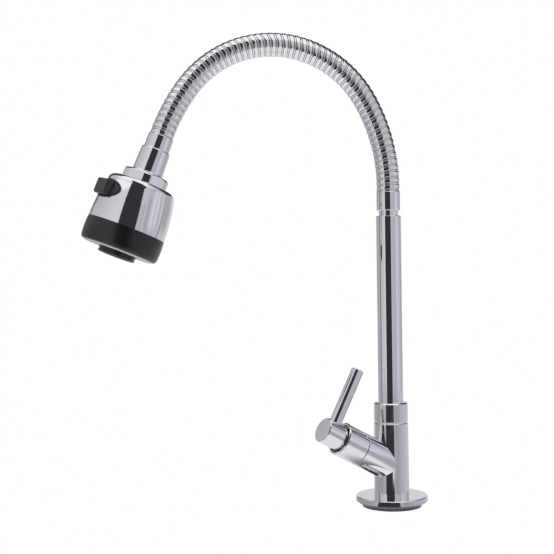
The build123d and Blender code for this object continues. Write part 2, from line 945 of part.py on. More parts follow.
def spray_ring():
    belly_height = shell_foot + spray_ring_length * spray_ring_belly_share
    start = (shell_foot_radius, shell_foot)
    belly = (shell_foot_radius + spray_ring_belly_bulge, belly_height)
    end = (shell_foot_radius - spray_ring_foot_inset, ring_foot)
    side = ThreePointArc(start, belly, end)
    ledge_radius = spray_ring_inner_radius - spray_ring_ledge_width
    lip_top = shell_foot - spray_ring_lip_length
    closing = Polyline(
        end,
        (spray_ring_inner_radius, ring_foot),
        (spray_ring_inner_radius, ledge_foot),
        (ledge_radius, ledge_foot),
        (ledge_radius, ledge_top),
        (spray_ring_lip_inner, ledge_top),
        (spray_ring_lip_inner, lip_top),
        (spray_ring_lip_radius, lip_top),
        (spray_ring_lip_radius, shell_foot),
        start,
    )
    face = make_face([side, closing])
    corner = face.vertices().sort_by_distance(Vector(*end))[0]
    face = fillet(corner, spray_ring_foot_round)
    return revolve(Plane.XZ * face, Axis.Z)


def spray_plate():
    skirt_inner = plate_radius - plate_skirt
    plate_top = plate_foot - plate_thickness
    plate = turned([
        (plate_hole_radius, plate_top),
        (skirt_inner, plate_top),
        (skirt_inner, ledge_foot + snug_gap),
        (plate_radius, ledge_foot + snug_gap),
        (plate_radius, plate_foot - plate_edge_bevel),
        (plate_radius - plate_edge_bevel, plate_foot),
        (plate_hole_radius, plate_foot),
    ])
    hole = rod(spray_hole_radius, plate_top - overrun, plate_foot + overrun)
    holes = []
    for share, count in zip(spray_row_shares, spray_row_counts):
        radius = plate_hole_radius + share * plate_width
        holes += [Rot(0, 0, 360 * number / count) * Pos(radius, 0, 0) * hole for number in range(count)]
    return plate - holes


def aerator_housing():
    skirt_top = aerator_foot - aerator_skirt_length
    groove_low = aerator_foot - aerator_groove_station
    groove_high = groove_low + aerator_groove_width
    groove_radius = aerator_radius - aerator_groove_depth
    collar_bore = core_tube_radius + snug_gap
    rim_corner = 8
    return turned([
        (collar_bore, aerator_top),
        (aerator_collar_radius, aerator_top),
        (aerator_collar_radius, skirt_top),
        (aerator_radius, skirt_top),
        (aerator_radius, groove_low),
        (groove_radius, groove_low),
        (groove_radius, groove_high),
        (aerator_radius, groove_high),
        (aerator_radius, aerator_foot),
        (aerator_bore_radius, aerator_foot),
        (aerator_bore_radius, skirt_top + insert_disc_wall),
        (collar_bore, skirt_top + insert_disc_wall),
    ], rounds=[(rim_corner, aerator_rim_round)])


def aerator_insert():
    """Cup that mixes air into the stream, seated under the end of the core's tube."""
    top = aerator_foot - aerator_skirt_length + insert_disc_wall
    radius = aerator_bore_radius - snug_gap
    foot = aerator_foot - mesh_recess - mesh_thickness
    cup = turned([
        (0, top),
        (radius, top),
        (radius, foot),
        (radius - insert_disc_wall, foot),
        (radius - insert_disc_wall, top + insert_disc_wall),
        (0, top + insert_disc_wall),
    ])
    jet = rod(jet_radius, top - overrun, top + insert_disc_wall + overrun)
    for number in range(jet_count):
        cup -= Rot(0, 0, 360 * number / jet_count) * Pos(jet_offset, 0, 0) * jet
    return cup


def aerator_mesh():
    """Stream former: a disc with a grid of square holes inside a plain rim."""
    foot = aerator_foot - mesh_recess
    radius = aerator_bore_radius - snug_gap
    disc = rod(radius, foot - mesh_thickness, foot)
    reach = int((radius - mesh_rim) / mesh_pitch)
    holes = []
    for column in range(-reach, reach + 1):
        for row in range(-reach, reach + 1):
            corner = mesh_pitch * sqrt(column * column + row * row) + mesh_hole_width / sqrt(2)
            if corner < radius - mesh_rim:
                hole = Box(mesh_hole_width, mesh_hole_width, 2 * overrun)
                holes.append(Pos(mesh_pitch * column, mesh_pitch * row, foot) * hole)
    return disc - holes


# Push button that changes the spray
def button_bezel():
    ring = oval_bar(button_half_width, button_half_height, core_wall_radius, 2 * shell_foot_radius)
    ring -= oval_bar(
        button_half_width - button_rim, button_half_height - button_rim, 0, 2 * shell_foot_radius + overrun
    )
    return button_place() * ring & side_layer(bezel_proud, bezel_depth)


def selector_button():
    inset = button_rim + fit_gap
    plate = oval_bar(
        button_half_width - inset, button_half_height - inset, core_wall_radius, 2 * shell_foot_radius
    )
    plate = button_place() * plate & side_layer(button_proud, button_thickness)
    face = shell_radius(button_station, 0)
    outer = face + paddle_reach
    inner = face - button_thickness / 2
    block = Box(outer - inner, paddle_width, paddle_height)
    crown = block.edges().filter_by(Axis.X, reverse=True).group_by(Axis.X)[-1]
    block = fillet(crown + block.edges().filter_by(Axis.X), paddle_round)
    paddle = button_place() * Pos((outer + inner) / 2, 0, 0) * block
    stem = button_place() * Rot(0, 90, 0) * rod(stem_radius, stem_inner_end, inner)
    return plate + paddle + stem


def diverter_plunger():
    """Seal on the stem's inner end, inside the core's centre tube."""
    high = stem_inner_end - snug_gap
    return button_place() * Rot(0, 90, 0) * rod(plunger_radius, high - plunger_length - snug_gap, high)


def biarc(start, start_direction, end, end_direction):
    """Two tangent arcs from one point and direction to another."""
    chord = end - start
    square = 2 * (1 - start_direction.dot(end_direction))
    linear = 2 * chord.dot(start_direction + end_direction)
    reach = (sqrt(linear * linear + 4 * square * chord.dot(chord)) - linear) / (2 * square)
    middle = (start + start_direction * reach + end - end_direction * reach) * 0.5
    first = TangentArc(start, middle, tangent=start_direction)
    return [first, TangentArc(middle, end, tangent=first % 1)]


def button_spring():
    """Return spring round the stem, between the core's wall and the back of the button."""
    low = core_wall_radius + spring_wire_radius + snug_gap
    back = shell_radius(button_station - spring_radius, button_thickness)
    high = back - spring_wire_radius - fit_gap
    quarters = 4 * spring_turns
    rise = (high - low) / quarters
    quarter_turn = pi / 2

    def on_coil(quarter):
        angle = quarter * quarter_turn
        return Vector(spring_radius * cos(angle), spring_radius * sin(angle), low + rise * quarter)

    def along_coil(quarter):
        angle = quarter * quarter_turn
        across = Vector(-spring_radius * sin(angle), spring_radius * cos(angle), rise / quarter_turn)
        return across.normalized()

    arcs = []
    for quarter in range(quarters):
        ends = on_coil(quarter), along_coil(quarter), on_coil(quarter + 1), along_coil(quarter + 1)
        arcs += biarc(*ends)
    path = Wire(edges=[arc.edge() for arc in arcs])
    start = Plane(origin=path @ 0, z_dir=path % 0)
    coil = sweep(start * Circle(spring_wire_radius), path=path)
    print("spring: least gap between turns", round(4 * rise - 2 * spring_wire_radius, 3))
    return button_place() * Rot(0, 90, 0) * coil


# Every piece in its place
branch = branch_place()
head = head_place()

pieces = {
    "base_gasket": base_gasket(),
    "base_flange": base_flange(),
    "inlet_shank": inlet_shank(),
    "clamp_gasket": clamp_gasket(),
    "clamp_washer": clamp_washer(),
    "fixing_nut": fixing_nut(),
    "tap_body": tap_body(),
    "cartridge_seal": branch * cartridge_seal(),
    "fixed_disc": branch * ported_disc(fixed_disc_low, 0),
    "moving_disc": branch * ported_disc(moving_disc_low, 90),
    "cartridge_body": branch * cartridge_body(),
    "valve_spindle": branch * valve_spindle(),
    "spindle_seals": [branch * ring for ring in spindle_seals()],
    "spindle_clip": branch * spindle_clip(),
    "bonnet_sleeve": branch * bonnet_sleeve(),
    "lever_hub": branch * lever_hub(),
    "lever_rod": branch * lever_rod(),
    "hub_set_screw": branch * hub_set_screw(),
    "spout_insert": spout_insert(),
    "spout_seals": spout_seals(),
    "retaining_ring": retaining_ring(),
    "swivel_washer": swivel_washer(),
    "swivel_collar": swivel_collar(),
    "riser_tube": riser_tube(),
    "riser_plug": riser_plug(),
    "lower_ferrule": lower_ferrule(),
    "inner_hose": inner_hose(),
    "upper_ferrule": head * upper_ferrule(),
    "head_connector": head * head_connector(),
    "union_nut": head * union_nut(),
    "union_washer": head * union_washer(),
    "head_shell": head * head_shell(),
    "spray_core": head * spray_core(),
    "spray_ring": head * spray_ring(),
    "spray_plate": head * spray_plate(),
    "aerator_housing": head * aerator_housing(),
    "aerator_insert": head * aerator_insert(),
    "aerator_mesh": head * aerator_mesh(),
    "button_bezel": head * button_bezel(),
    "selector_button": head * selector_button(),
    "diverter_plunger": head * diverter_plunger(),
    "button_spring": head * button_spring(),
}
for number, section in enumerate(neck_sections(), start=1):
    pieces[f"neck_section_{number:02d}"] = section

os.makedirs("parts", exist_ok=True)
for name, shape in pieces.items():
    solids = shape if isinstance(shape, list) else [shape]
    export_step(Compound(children=[solid for one in solids for solid in one.solids()]), f"parts/{name}.step")

print("neck length", round(neck_length, 2), "turn", neck_turn, "rib pitch", round(rib_pitch, 3))
print("neck end", head.position, "pieces", len(pieces))
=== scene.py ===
# %% [markdown]
# A kitchen faucet with a bendable neck, dressed around its CAD frame.
# The frame gives the true sizes and the moving bodies. This script adds the surfaces that a buyer
# sees: polished plating, a wound metal neck and moulded black plastic. It goes from the studio to
# the finishes and then from the deck up to the spray head, piece by piece.

# %% Load the frame
import json
from math import atan2, cos, degrees, hypot, pi, radians, sin, sqrt

import bpy
from mathutils import Matrix, Vector


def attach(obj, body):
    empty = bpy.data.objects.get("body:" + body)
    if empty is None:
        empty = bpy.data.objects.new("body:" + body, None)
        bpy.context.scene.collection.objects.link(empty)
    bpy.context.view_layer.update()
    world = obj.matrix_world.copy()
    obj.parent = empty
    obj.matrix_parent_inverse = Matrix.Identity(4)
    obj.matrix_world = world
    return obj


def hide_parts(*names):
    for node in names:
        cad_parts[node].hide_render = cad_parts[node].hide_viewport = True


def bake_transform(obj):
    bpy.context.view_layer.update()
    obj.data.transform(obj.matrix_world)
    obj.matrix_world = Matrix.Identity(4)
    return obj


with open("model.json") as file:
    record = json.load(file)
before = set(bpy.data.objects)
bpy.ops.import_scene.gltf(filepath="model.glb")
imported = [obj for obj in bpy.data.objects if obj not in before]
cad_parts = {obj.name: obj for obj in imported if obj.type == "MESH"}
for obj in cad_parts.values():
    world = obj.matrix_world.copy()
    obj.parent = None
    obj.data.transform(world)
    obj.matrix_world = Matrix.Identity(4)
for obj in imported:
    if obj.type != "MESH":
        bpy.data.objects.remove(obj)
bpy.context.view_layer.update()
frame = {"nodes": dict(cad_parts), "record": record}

nodes = frame["nodes"]

# %% [markdown]
# All sizes below are in millimetres, as in the drawing of the faucet, and Blender works in metres.
# One small function turns a size into metres, so that every other line can stay in millimetres.

# %% Millimetres
MM = 0.001


def mm(*sizes):
    """Millimetres to metres: one number, or a vector of three."""
    return sizes[0] * MM if len(sizes) == 1 else Vector(sizes) * MM


# %% [markdown]
# The camera stands where the photographer stood: a little to the left of the faucet, 184 mm above
# the deck and almost level. A short telephoto lens keeps the upright tube straight and the spray
# head undistorted.

# %% Camera
camera_place = Vector((-0.2607, -0.8033, 0.1841))
camera_heading = 12.105
camera_pitch = -0.46
camera_roll = -0.77
focal_length = 70.83
sensor_width = 36

camera = bpy.data.objects.new("camera", bpy.data.cameras.new("camera"))
bpy.context.scene.collection.objects.link(camera)
camera.data.lens = focal_length
camera.data.sensor_width = sensor_width
camera.location = camera_place
turn = Matrix.Rotation(radians(-camera_heading), 4, "Z")
tilt = Matrix.Rotation(radians(90 + camera_pitch), 4, "X")
roll = Matrix.Rotation(radians(camera_roll), 4, "Z")
camera.matrix_world = Matrix.Translation(camera_place) @ turn @ tilt @ roll
bpy.context.scene.camera = camera
bpy.context.scene.view_settings.view_transform = "Standard"
print("camera at", tuple(camera_place), "lens", camera.data.lens)

# %% [markdown]
# Colours are written as sRGB hex values, as a paint chart or an image editor gives them. Shaders
# want linear light, so one function turns the one into the other. A second one adds a node, sets
# it and links it, which keeps each material down to a few readable lines.

# %% Colours and nodes
def colour(code):
    """An sRGB hex value such as B8B8BD as linear light, with full opacity."""
    parts = [int(code[place:place + 2], 16) / 255 for place in (0, 2, 4)]
    linear = [c / 12.92 if c <= 0.04045 else ((c + 0.055) / 1.055) ** 2.4 for c in parts]
    return (*linear, 1.0)


def add_node(tree, kind, settings=(), inputs=(), links=()):
    """Add a node, set its properties and sockets, and link other nodes' outputs to its sockets."""
    node = tree.nodes.new(kind)
    for name, value in dict(settings).items():
        setattr(node, name, value)
    for name, value in dict(inputs).items():
        node.inputs[name].default_value = value
    for name, (source, output) in dict(links).items():
        tree.links.new(source.outputs[output], node.inputs[name])
    return node


def new_material(name):
    """An empty node material with its output, ready for a shader."""
    material = bpy.data.materials.new(name)
    material.use_nodes = True
    tree = material.node_tree
    tree.nodes.clear()
    return material, tree


def close_material(tree, shader):
    """End a material in its shader."""
    add_node(tree, "ShaderNodeOutputMaterial", links={"Surface": (shader, 0)})


print("white is", [round(part, 3) for part in colour("FFFFFF")])

# %% [markdown]
# Polished metal shows only what stands round it, so the studio is half of its look. A product
# photographer puts the faucet on a white sheet, lights it from large soft boxes and shoots through
# an opening in a black card: that card is the dark band down the middle of every tube. Grey walls
# all round give the plating its body.
#
# The walls are one tall ring. Their tones change with the heading and, in two steps, with the
# height: low down they are pale behind the faucet, and higher up they are dark there, which draws
# the dark line along the arch's upper edge. The camera doesn't see the walls or the card, as it
# wouldn't see soft boxes, but the metal does.

# %% World
room_tone = "B4B4B8"
backdrop_tone = "FFFFFF"

world = bpy.data.worlds.new("studio")
bpy.context.scene.world = world
world.use_nodes = True
world.node_tree.nodes.clear()
paths = add_node(world.node_tree, "ShaderNodeLightPath")
seen = add_node(world.node_tree, "ShaderNodeMath", {"operation": "MAXIMUM"}, links={
    0: (paths, "Is Camera Ray"), 1: (paths, "Is Glossy Ray")})
seen = add_node(world.node_tree, "ShaderNodeMath", {"operation": "MAXIMUM"}, links={
    0: (seen, 0), 1: (paths, "Is Transmission Ray")})
shade = add_node(world.node_tree, "ShaderNodeMix", {"data_type": "RGBA"}, {
    "A": colour(room_tone), "B": colour(backdrop_tone)}, {"Factor": (seen, 0)})
glow = add_node(world.node_tree, "ShaderNodeBackground", links={"Color": (shade, "Result")})
add_node(world.node_tree, "ShaderNodeOutputWorld", links={"Surface": (glow, 0)})
print("room", room_tone, "backdrop", backdrop_tone)

# %% Grey walls
wall_radius = 2.0
wall_height = 4.0
wall_sides = 180
low_tones = [
    (-165, "D8D8DC"), (-140, "A4A4A9"), (-112, "B0B0B5"), (-97, "B6B6BB"), (-94, "6E6E74"),
    (-86, "6E6E74"), (-83, "C4C4C9"), (-52, "CACAD0"), (-20, "F0F0F2"), (0, "D0D0D5"), (24, "CCCCD2"),
    (31, "ACACB2"), (36, "C2C2C8"), (43, "B0B0B6"), (49, "C6C6CC"), (55, "A8A8AE"), (62, "B8B8BE"),
    (72, "DCDCE2"), (80, "C4C4CA"), (88, "DADAE0"), (96, "B0B0B6"), (103, "D0D0D6"),
    (116, "B0B0B6"), (140, "AAAAAE"), (165, "D8D8DC"),
]
high_tones = [
    (-170, "303034"), (-135, "3A3A3F"), (-118, "BCBCC1"), (-75, "C6C6CA"), (-30, "D8D8DC"),
    (20, "D0D0D6"), (60, "BEBEC6"), (101, "BCBCC2"), (116, "3A3A3F"), (170, "303034"),
]
top_tones = [
    (-170, "2C2C30"), (-130, "303034"), (-112, "C8C8CC"), (-80, "F8F8FA"), (80, "F8F8FA"),
    (103, "C8C8CC"), (118, "303034"), (170, "2C2C30"),
]
middle_edges = (0.6, 0.8)
top_edges = (1.75, 1.95)


def eased(tree, source, output, edges):
    """A value that runs smoothly from 0 to 1 between two edges of another node's output."""
    return add_node(tree, "ShaderNodeMapRange", {"interpolation_type": "SMOOTHSTEP"}, {
        "From Min": edges[0], "From Max": edges[1]}, {"Value": (source, output)})


def mixed_colour(tree, factor, first, second):
    """Mix the colours of two nodes' outputs by a third node's value."""
    return add_node(tree, "ShaderNodeMix", {"data_type": "RGBA"}, links={
        "Factor": (factor, 0), "A": first, "B": second}), "Result"


def toned_by_heading(tree, tones):
    """Nodes that pick a tone by its heading from the camera, given in degrees."""
    place = add_node(tree, "ShaderNodeTexCoord")
    turned_place = add_node(tree, "ShaderNodeMapping", {"vector_type": "TEXTURE"}, {
        "Rotation": (0, 0, radians(camera_side))}, {"Vector": (place, "Object")})
    sweep = add_node(tree, "ShaderNodeTexGradient", {"gradient_type": "RADIAL"}, links={
        "Vector": (turned_place, 0)})
    ramp = add_node(tree, "ShaderNodeValToRGB", links={"Fac": (sweep, 1)})
    stops = ramp.color_ramp.elements
    while len(stops) < len(tones):
        stops.new(0.5)
    for stop, (heading, tone) in zip(stops, tones):
        stop.position = 0.5 + heading / 360
        stop.color = colour(tone)
    return ramp


def seen_in_metal_only(card):
    """A card of the studio that lights nothing and that the camera looks through."""
    card.visible_camera = False
    card.visible_diffuse = False
    card.visible_shadow = False


camera_side = degrees(atan2(camera_place.y, camera_place.x))
bpy.ops.object.select_all(action="DESELECT")
bpy.ops.mesh.primitive_cylinder_add(
    vertices=wall_sides, radius=wall_radius, depth=wall_height, end_fill_type="NOTHING",
    location=(0, 0, wall_height / 2))
walls = bpy.context.object
walls.name = "studio_walls"
material, tree = new_material("studio_wall_tones")
place = add_node(tree, "ShaderNodeTexCoord")
height = add_node(tree, "ShaderNodeSeparateXYZ", links={0: (place, "Object")})
tones = toned_by_heading(tree, low_tones), 0
for edges, upper_tones in ((middle_edges, high_tones), (top_edges, top_tones)):
    raised = eased(tree, height, "Z", [edge - wall_height / 2 for edge in edges])
    tones = mixed_colour(tree, raised, tones, (toned_by_heading(tree, upper_tones), 0))
close_material(tree, add_node(tree, "ShaderNodeEmission", links={"Color": tones}))
walls.data.materials.append(material)
seen_in_metal_only(walls)
print("walls: headings counted from", round(camera_side, 1))

# %% Black card
card_left = (-0.34, -0.2755)
card_right = (0.0227, -0.6467)
card_height = 1.0
card_tone = "343437"

bpy.ops.object.select_all(action="DESELECT")
bpy.ops.mesh.primitive_plane_add(size=1)
card = bpy.context.object
card.name = "black_card"
left, right = Vector(card_left), Vector(card_right)
along = right - left
card.scale = (along.length, card_height, 1)
card.rotation_euler = (radians(90), 0, atan2(along.y, along.x))
card.location = (*((left + right) / 2), card_height / 2)
material, tree = new_material("black_card_tone")
close_material(tree, add_node(tree, "ShaderNodeEmission", inputs={"Color": colour(card_tone)}))
card.data.materials.append(material)
seen_in_metal_only(card)
print("black card", round(along.length, 3), "m wide")

# %% [markdown]
# The sheet is white to the camera. In the plating it shows painted tones: pale where it is seen
# steeply, from above, with a painted shadow round the faucet's foot. Seen along its surface it shows
# a painted reflection of the room, and so the dark band of the card runs on down the column to its
# foot. Far from the faucet that painted reflection takes on the walls' own tones, so that no line shows
# where the two meet.

# %% White sheet
paper_white = "FFFFFF"
paper_tone = "F2F2F2"
steep_tone = "EAEAEE"
shaded_tone = "6A6A6E"
shaded_edges = (0.024, 0.05)
near_edges = (0.4, 1.1)
facing_edges = (0.4, 0.7)
sheet_size = 40
painted_sheet_reflection_tones = [
    (-165, "D0D0D4"), (-120, "A8A8AC"), (-100, "9C9CA1"), (-60, "9E9EA3"), (-35, "B4B4B8"),
    (-33, "343437"), (19, "343437"), (21, "B2B2B8"), (35, "9C9CA2"), (60, "B0B0B8"), (90, "BCBCC4"),
    (125, "C8C8CF"), (165, "D0D0D4"),
]

bpy.ops.object.select_all(action="DESELECT")
bpy.ops.mesh.primitive_plane_add(size=sheet_size)
floor = bpy.context.object
floor.name = "floor"
material, tree = new_material("white_paper_sheet")
paths = add_node(tree, "ShaderNodeLightPath")
facing = add_node(tree, "ShaderNodeLayerWeight")
grazed = eased(tree, facing, "Facing", facing_edges)
place = add_node(tree, "ShaderNodeTexCoord")
distance = add_node(tree, "ShaderNodeVectorMath", {"operation": "LENGTH"}, links={0: (place, "Object")})
shaded = eased(tree, distance, "Value", shaded_edges)
# Painted shadow: in the plating the sheet's tone darkens round the faucet's foot.
steep = add_node(tree, "ShaderNodeMix", {"data_type": "RGBA"}, {
    "A": colour(shaded_tone), "B": colour(steep_tone)}, {"Factor": (shaded, 0)})
far = eased(tree, distance, "Value", near_edges)
# Painted reflection: seen flat, the sheet shows the card's dark band and the walls' tones.
flat = mixed_colour(tree, far, (toned_by_heading(tree, painted_sheet_reflection_tones), 0),
                    (toned_by_heading(tree, low_tones), 0))
painted_reflection = mixed_colour(tree, grazed, (steep, "Result"), flat)
painted_reflection = add_node(tree, "ShaderNodeEmission", links={"Color": painted_reflection})
white = add_node(tree, "ShaderNodeEmission", inputs={"Color": colour(paper_white)})
paper = add_node(tree, "ShaderNodeBsdfDiffuse", inputs={"Color": colour(paper_tone)})
mixed = add_node(tree, "ShaderNodeMixShader", links={
    0: (paths, "Is Glossy Ray"), 1: (paper, 0), 2: (painted_reflection, 0)})
mixed = add_node(tree, "ShaderNodeMixShader", links={
    0: (paths, "Is Camera Ray"), 1: (mixed, 0), 2: (white, 0)})
close_material(tree, mixed)
floor.data.materials.append(material)
print("sheet, seen steeply and flat by", facing_edges)

# %% Soft lamps
# Each one's name, place, turn, width and power.
lamps = [
    ("lamp_above", (-0.1, -0.3, 1.9), (0, 0, 0), 1.6, 16),
    ("lamp_left", (-1.5, -0.9, 0.9), (0, radians(-60), radians(30)), 1.0, 8),
    ("lamp_right", (1.3, -1.0, 0.8), (0, radians(62), radians(-36)), 1.0, 7),
]
for name, place, turns, width, power in lamps:
    lamp = bpy.data.objects.new(name, bpy.data.lights.new(name, "AREA"))
    bpy.context.scene.collection.objects.link(lamp)
    lamp.data.size = width
    lamp.data.energy = power
    lamp.location = place
    lamp.rotation_euler = turns
    lamp.visible_glossy = False
print("lamps", [name for name, *_ in lamps])

# %% [markdown]
# Most of the faucet is chrome-plated brass: a mirror-bright, faintly blue-grey metal. Plating is
# so smooth that its colour comes from the studio, but it is never perfect. Polishing leaves the
# wall a few thousandths of a millimetre wavy, and wiping leaves hair-fine streaks that scatter a
# little light. Both are drawn here, the first as a very shallow bump and the second as roughness.

# %% Chrome plating
def surface(tree, base, metallic, roughness, **sockets):
    """The shader that nearly every finish here ends in."""
    inputs = {"Base Color": base, "Metallic": metallic, "Roughness": roughness}
    inputs.update({name.replace("_", " "): value for name, value in sockets.items()})
    return add_node(tree, "ShaderNodeBsdfPrincipled", inputs=inputs)


def grain(tree, size, detail=3.0, stretch=(1, 1, 1)):
    """Noise whose lumps are about as wide as a size in millimetres."""
    place = add_node(tree, "ShaderNodeTexCoord")
    scaled = add_node(tree, "ShaderNodeMapping", inputs={"Scale": stretch}, links={
        "Vector": (place, "Object")})
    return add_node(tree, "ShaderNodeTexNoise", inputs={"Scale": 1 / (2 * mm(size)), "Detail": detail},
                    links={"Vector": (scaled, 0)})


def ranged(tree, source, low, high):
    """The noise's usual range stretched to run from low to high."""
    return add_node(tree, "ShaderNodeMapRange", inputs={
        "From Min": noise_low, "From Max": noise_high, "To Min": low, "To Max": high},
        links={"Value": (source, 0)})


def roughened(tree, source, roughness, shader):
    """Let the roughness follow the noise between a lower and an upper value."""
    tree.links.new(ranged(tree, source, *roughness).outputs[0], shader.inputs["Roughness"])


def bump(tree, source, height, shader):
    """Raise the surface by the noise, up to a height in millimetres."""
    relief = add_node(tree, "ShaderNodeBump", inputs={"Strength": 1.0, "Distance": mm(height)},
                      links={"Height": (source, 0)})
    tree.links.new(relief.outputs["Normal"], shader.inputs["Normal"])


def coloured(tree, source, first, second, shader):
    """Let the colour follow a value between two colours."""
    mixed = add_node(tree, "ShaderNodeMix", {"data_type": "RGBA"}, {
        "A": colour(first), "B": colour(second)}, {"Factor": source})
    tree.links.new(mixed.outputs["Result"], shader.inputs["Base Color"])


noise_low = 0.3
noise_high = 0.7
polish_wave = 9.0
polish_depth = 0.002
wiping_streak = 0.6
streak_stretch = (1, 1, 0.12)
wiped_roughness = (0.035, 0.075)

chrome_plating, tree = new_material("chrome_plated_brass")
shader = surface(tree, colour("F0F0F3"), 1.0, 0.05)
roughened(tree, grain(tree, wiping_streak, stretch=streak_stretch), wiped_roughness, shader)
bump(tree, grain(tree, polish_wave, detail=1.0), polish_depth, shader)
close_material(tree, shader)
print(chrome_plating.name)

# %% [markdown]
# The neck is a steel strip wound into a tube and then plated. The strip slides in its own seam
# when the neck bends, and its seams are painted dark, as painted shade. The piece stores how deep
# each point lies, and the finish reads that.

# %% Wound steel strip
seam_attribute = "seam"
strip_tone = "F4F4F7"
seam_shade_tone = "242428"
strip_grain = 0.25
strip_roughness = (0.03, 0.08)
strip_depth = 0.0005

wound_strip, tree = new_material("plated_steel_strip")
shader = surface(tree, colour("DEDEE2"), 1.0, 0.1)
depth = add_node(tree, "ShaderNodeAttribute", {"attribute_name": seam_attribute})
# Painted shade: the deep points of the seams are coloured dark.
coloured(tree, (depth, "Fac"), strip_tone, seam_shade_tone, shader)
rolled = grain(tree, strip_grain)
roughened(tree, rolled, strip_roughness, shader)
bump(tree, rolled, strip_depth, shader)
close_material(tree, shader)
print(wound_strip.name)

# %% [markdown]
# The spray ring, the nozzle and the button are moulded black ABS. The mould is etched, which
# gives the plastic a satin grain of about a fifth of a millimetre, too fine to see as a pattern
# but enough to spread the highlights. The spray plate is the same plastic in light grey.

# %% Moulded plastics
mould_grain = 0.2
mould_depth = 0.012
mould_spread = 0.06
mould_clouds = 14.0
plastic_ior = 1.54


def cloudy(tree, size, dark, light, shader):
    """A faint unevenness of colour, with clouds of a size in millimetres."""
    coloured(tree, (ranged(tree, grain(tree, size), 0.0, 1.0), 0), dark, light, shader)


def moulded(name, dark, light, roughness):
    """Moulded plastic with an etched grain and a faint unevenness of colour."""
    material, tree = new_material(name)
    shader = surface(tree, colour(dark), 0.0, roughness, IOR=plastic_ior)
    etched = grain(tree, mould_grain, detail=2.0)
    cloudy(tree, mould_clouds, dark, light, shader)
    roughened(tree, etched, (roughness - mould_spread, roughness + mould_spread), shader)
    bump(tree, etched, mould_depth, shader)
    close_material(tree, shader)
    return material


black_abs = moulded("moulded_black_abs", "101012", "18181B", 0.3)
button_abs = moulded("moulded_charcoal_abs", "1C1C1E", "262628", 0.36)
grey_abs = moulded("moulded_grey_abs", "B9BBBE", "C6C8CA", 0.4)
white_acetal = moulded("moulded_white_acetal", "D8D8D6", "E2E2E0", 0.45)
print([material.name for material in (black_abs, button_abs, grey_abs, white_acetal)])

# %% [markdown]
# Below the deck and inside the valve nothing is plated for show: turned brass keeps its cutting
# marks, washers and clips are plain stainless sheet, seals are dull nitrile rubber, and the valve
# discs are ground alumina. They are hidden here, but a part that is taken apart shows them. Only
# the grey rubber shows, at the base.

# %% Hidden finishes
turning_mark = 0.18
turning_depth = 0.006
brush_line = 0.15
brush_depth = 0.003
bloom_size = 0.4
bloom_depth = 0.01
rubber_clouds = 3.0
lapping_scratch = 0.12
lapping_depth = 0.002
alumina_clouds = 2.0
alumina_ior = 1.76

turned_brass, tree = new_material("turned_brass")
shader = surface(tree, colour("D9B65A"), 1.0, 0.3)
marks = grain(tree, turning_mark, stretch=(0.05, 0.05, 1))
coloured(tree, (ranged(tree, marks, 0.0, 1.0), 0), "CDA64B", "E2C274", shader)
roughened(tree, marks, (0.22, 0.38), shader)
bump(tree, marks, turning_depth, shader)
close_material(tree, shader)

stainless_sheet, tree = new_material("stainless_sheet")
shader = surface(tree, colour("BDBDBB"), 1.0, 0.28)
brushed = grain(tree, brush_line, stretch=(0.06, 1, 1))
roughened(tree, brushed, (0.2, 0.36), shader)
bump(tree, brushed, brush_depth, shader)
close_material(tree, shader)


def moulded_rubber(name, dark, light):
    """Dull rubber with a bloom and a faint unevenness of colour."""
    material, tree = new_material(name)
    shader = surface(tree, colour(dark), 0.0, 0.7)
    bloom = grain(tree, bloom_size)
    cloudy(tree, rubber_clouds, dark, light, shader)
    roughened(tree, bloom, (0.6, 0.85), shader)
    bump(tree, bloom, bloom_depth, shader)
    close_material(tree, shader)
    return material


nitrile_rubber = moulded_rubber("nitrile_rubber", "121212", "212121")
grey_rubber = moulded_rubber("grey_rubber", "626264", "6C6C6E")

ground_alumina, tree = new_material("ground_alumina")
shader = surface(tree, colour("EDEAE2"), 0.0, 0.35, IOR=alumina_ior)
lapped = grain(tree, lapping_scratch)
cloudy(tree, alumina_clouds, "E6E3DA", "F1EFE8", shader)
roughened(tree, lapped, (0.28, 0.42), shader)
bump(tree, lapped, lapping_depth, shader)
close_material(tree, shader)
print(turned_brass.name, stainless_sheet.name, nitrile_rubber.name, ground_alumina.name)

# %% [markdown]
# Nearly every part of a faucet comes off a lathe, so the main helper works as a lathe does. Half
# of the section is drawn by pulling one vertex from corner to corner, the outline is spun round
# the axis, and a bevel breaks its sharp edges. A broken edge catches a thin highlight, and that
# line is what makes plating look solid. The piece is then moved to its place on the faucet, and
# the move is applied, so that the object itself stays at the origin.

# %% Lathe and finishing
round_sides = 96
fine_sides = 128
edge_break = 0.15
merge_distance = 1e-6


def make_active(piece):
    """Select one piece alone, for the operators."""
    bpy.ops.object.select_all(action="DESELECT")
    piece.select_set(True)
    bpy.context.view_layer.objects.active = piece


def draw_outline(name, corners):
    """Pull a vertex from corner to corner; each corner is a radius and a height."""
    bpy.ops.object.select_all(action="DESELECT")
    bpy.ops.mesh.primitive_plane_add(size=MM)
    piece = bpy.context.object
    piece.name = name
    bpy.ops.object.mode_set(mode="EDIT")
    bpy.ops.mesh.select_all(action="SELECT")
    bpy.ops.mesh.merge(type="CENTER")
    bpy.ops.transform.translate(value=mm(corners[0][0], 0, corners[0][1]))
    for (radius, height), (next_radius, next_height) in zip(corners, corners[1:]):
        step = mm(next_radius - radius, 0, next_height - height)
        bpy.ops.mesh.extrude_region_move(TRANSFORM_OT_translate={"value": step})
    bpy.ops.object.mode_set(mode="OBJECT")
    return piece


def tidy_mesh(piece):
    """Merge what meets and turn every face outwards."""
    make_active(piece)
    bpy.ops.object.mode_set(mode="EDIT")
    bpy.ops.mesh.select_all(action="SELECT")
    bpy.ops.mesh.remove_doubles(threshold=merge_distance)
    bpy.ops.mesh.normals_make_consistent(inside=False)
    bpy.ops.object.mode_set(mode="OBJECT")


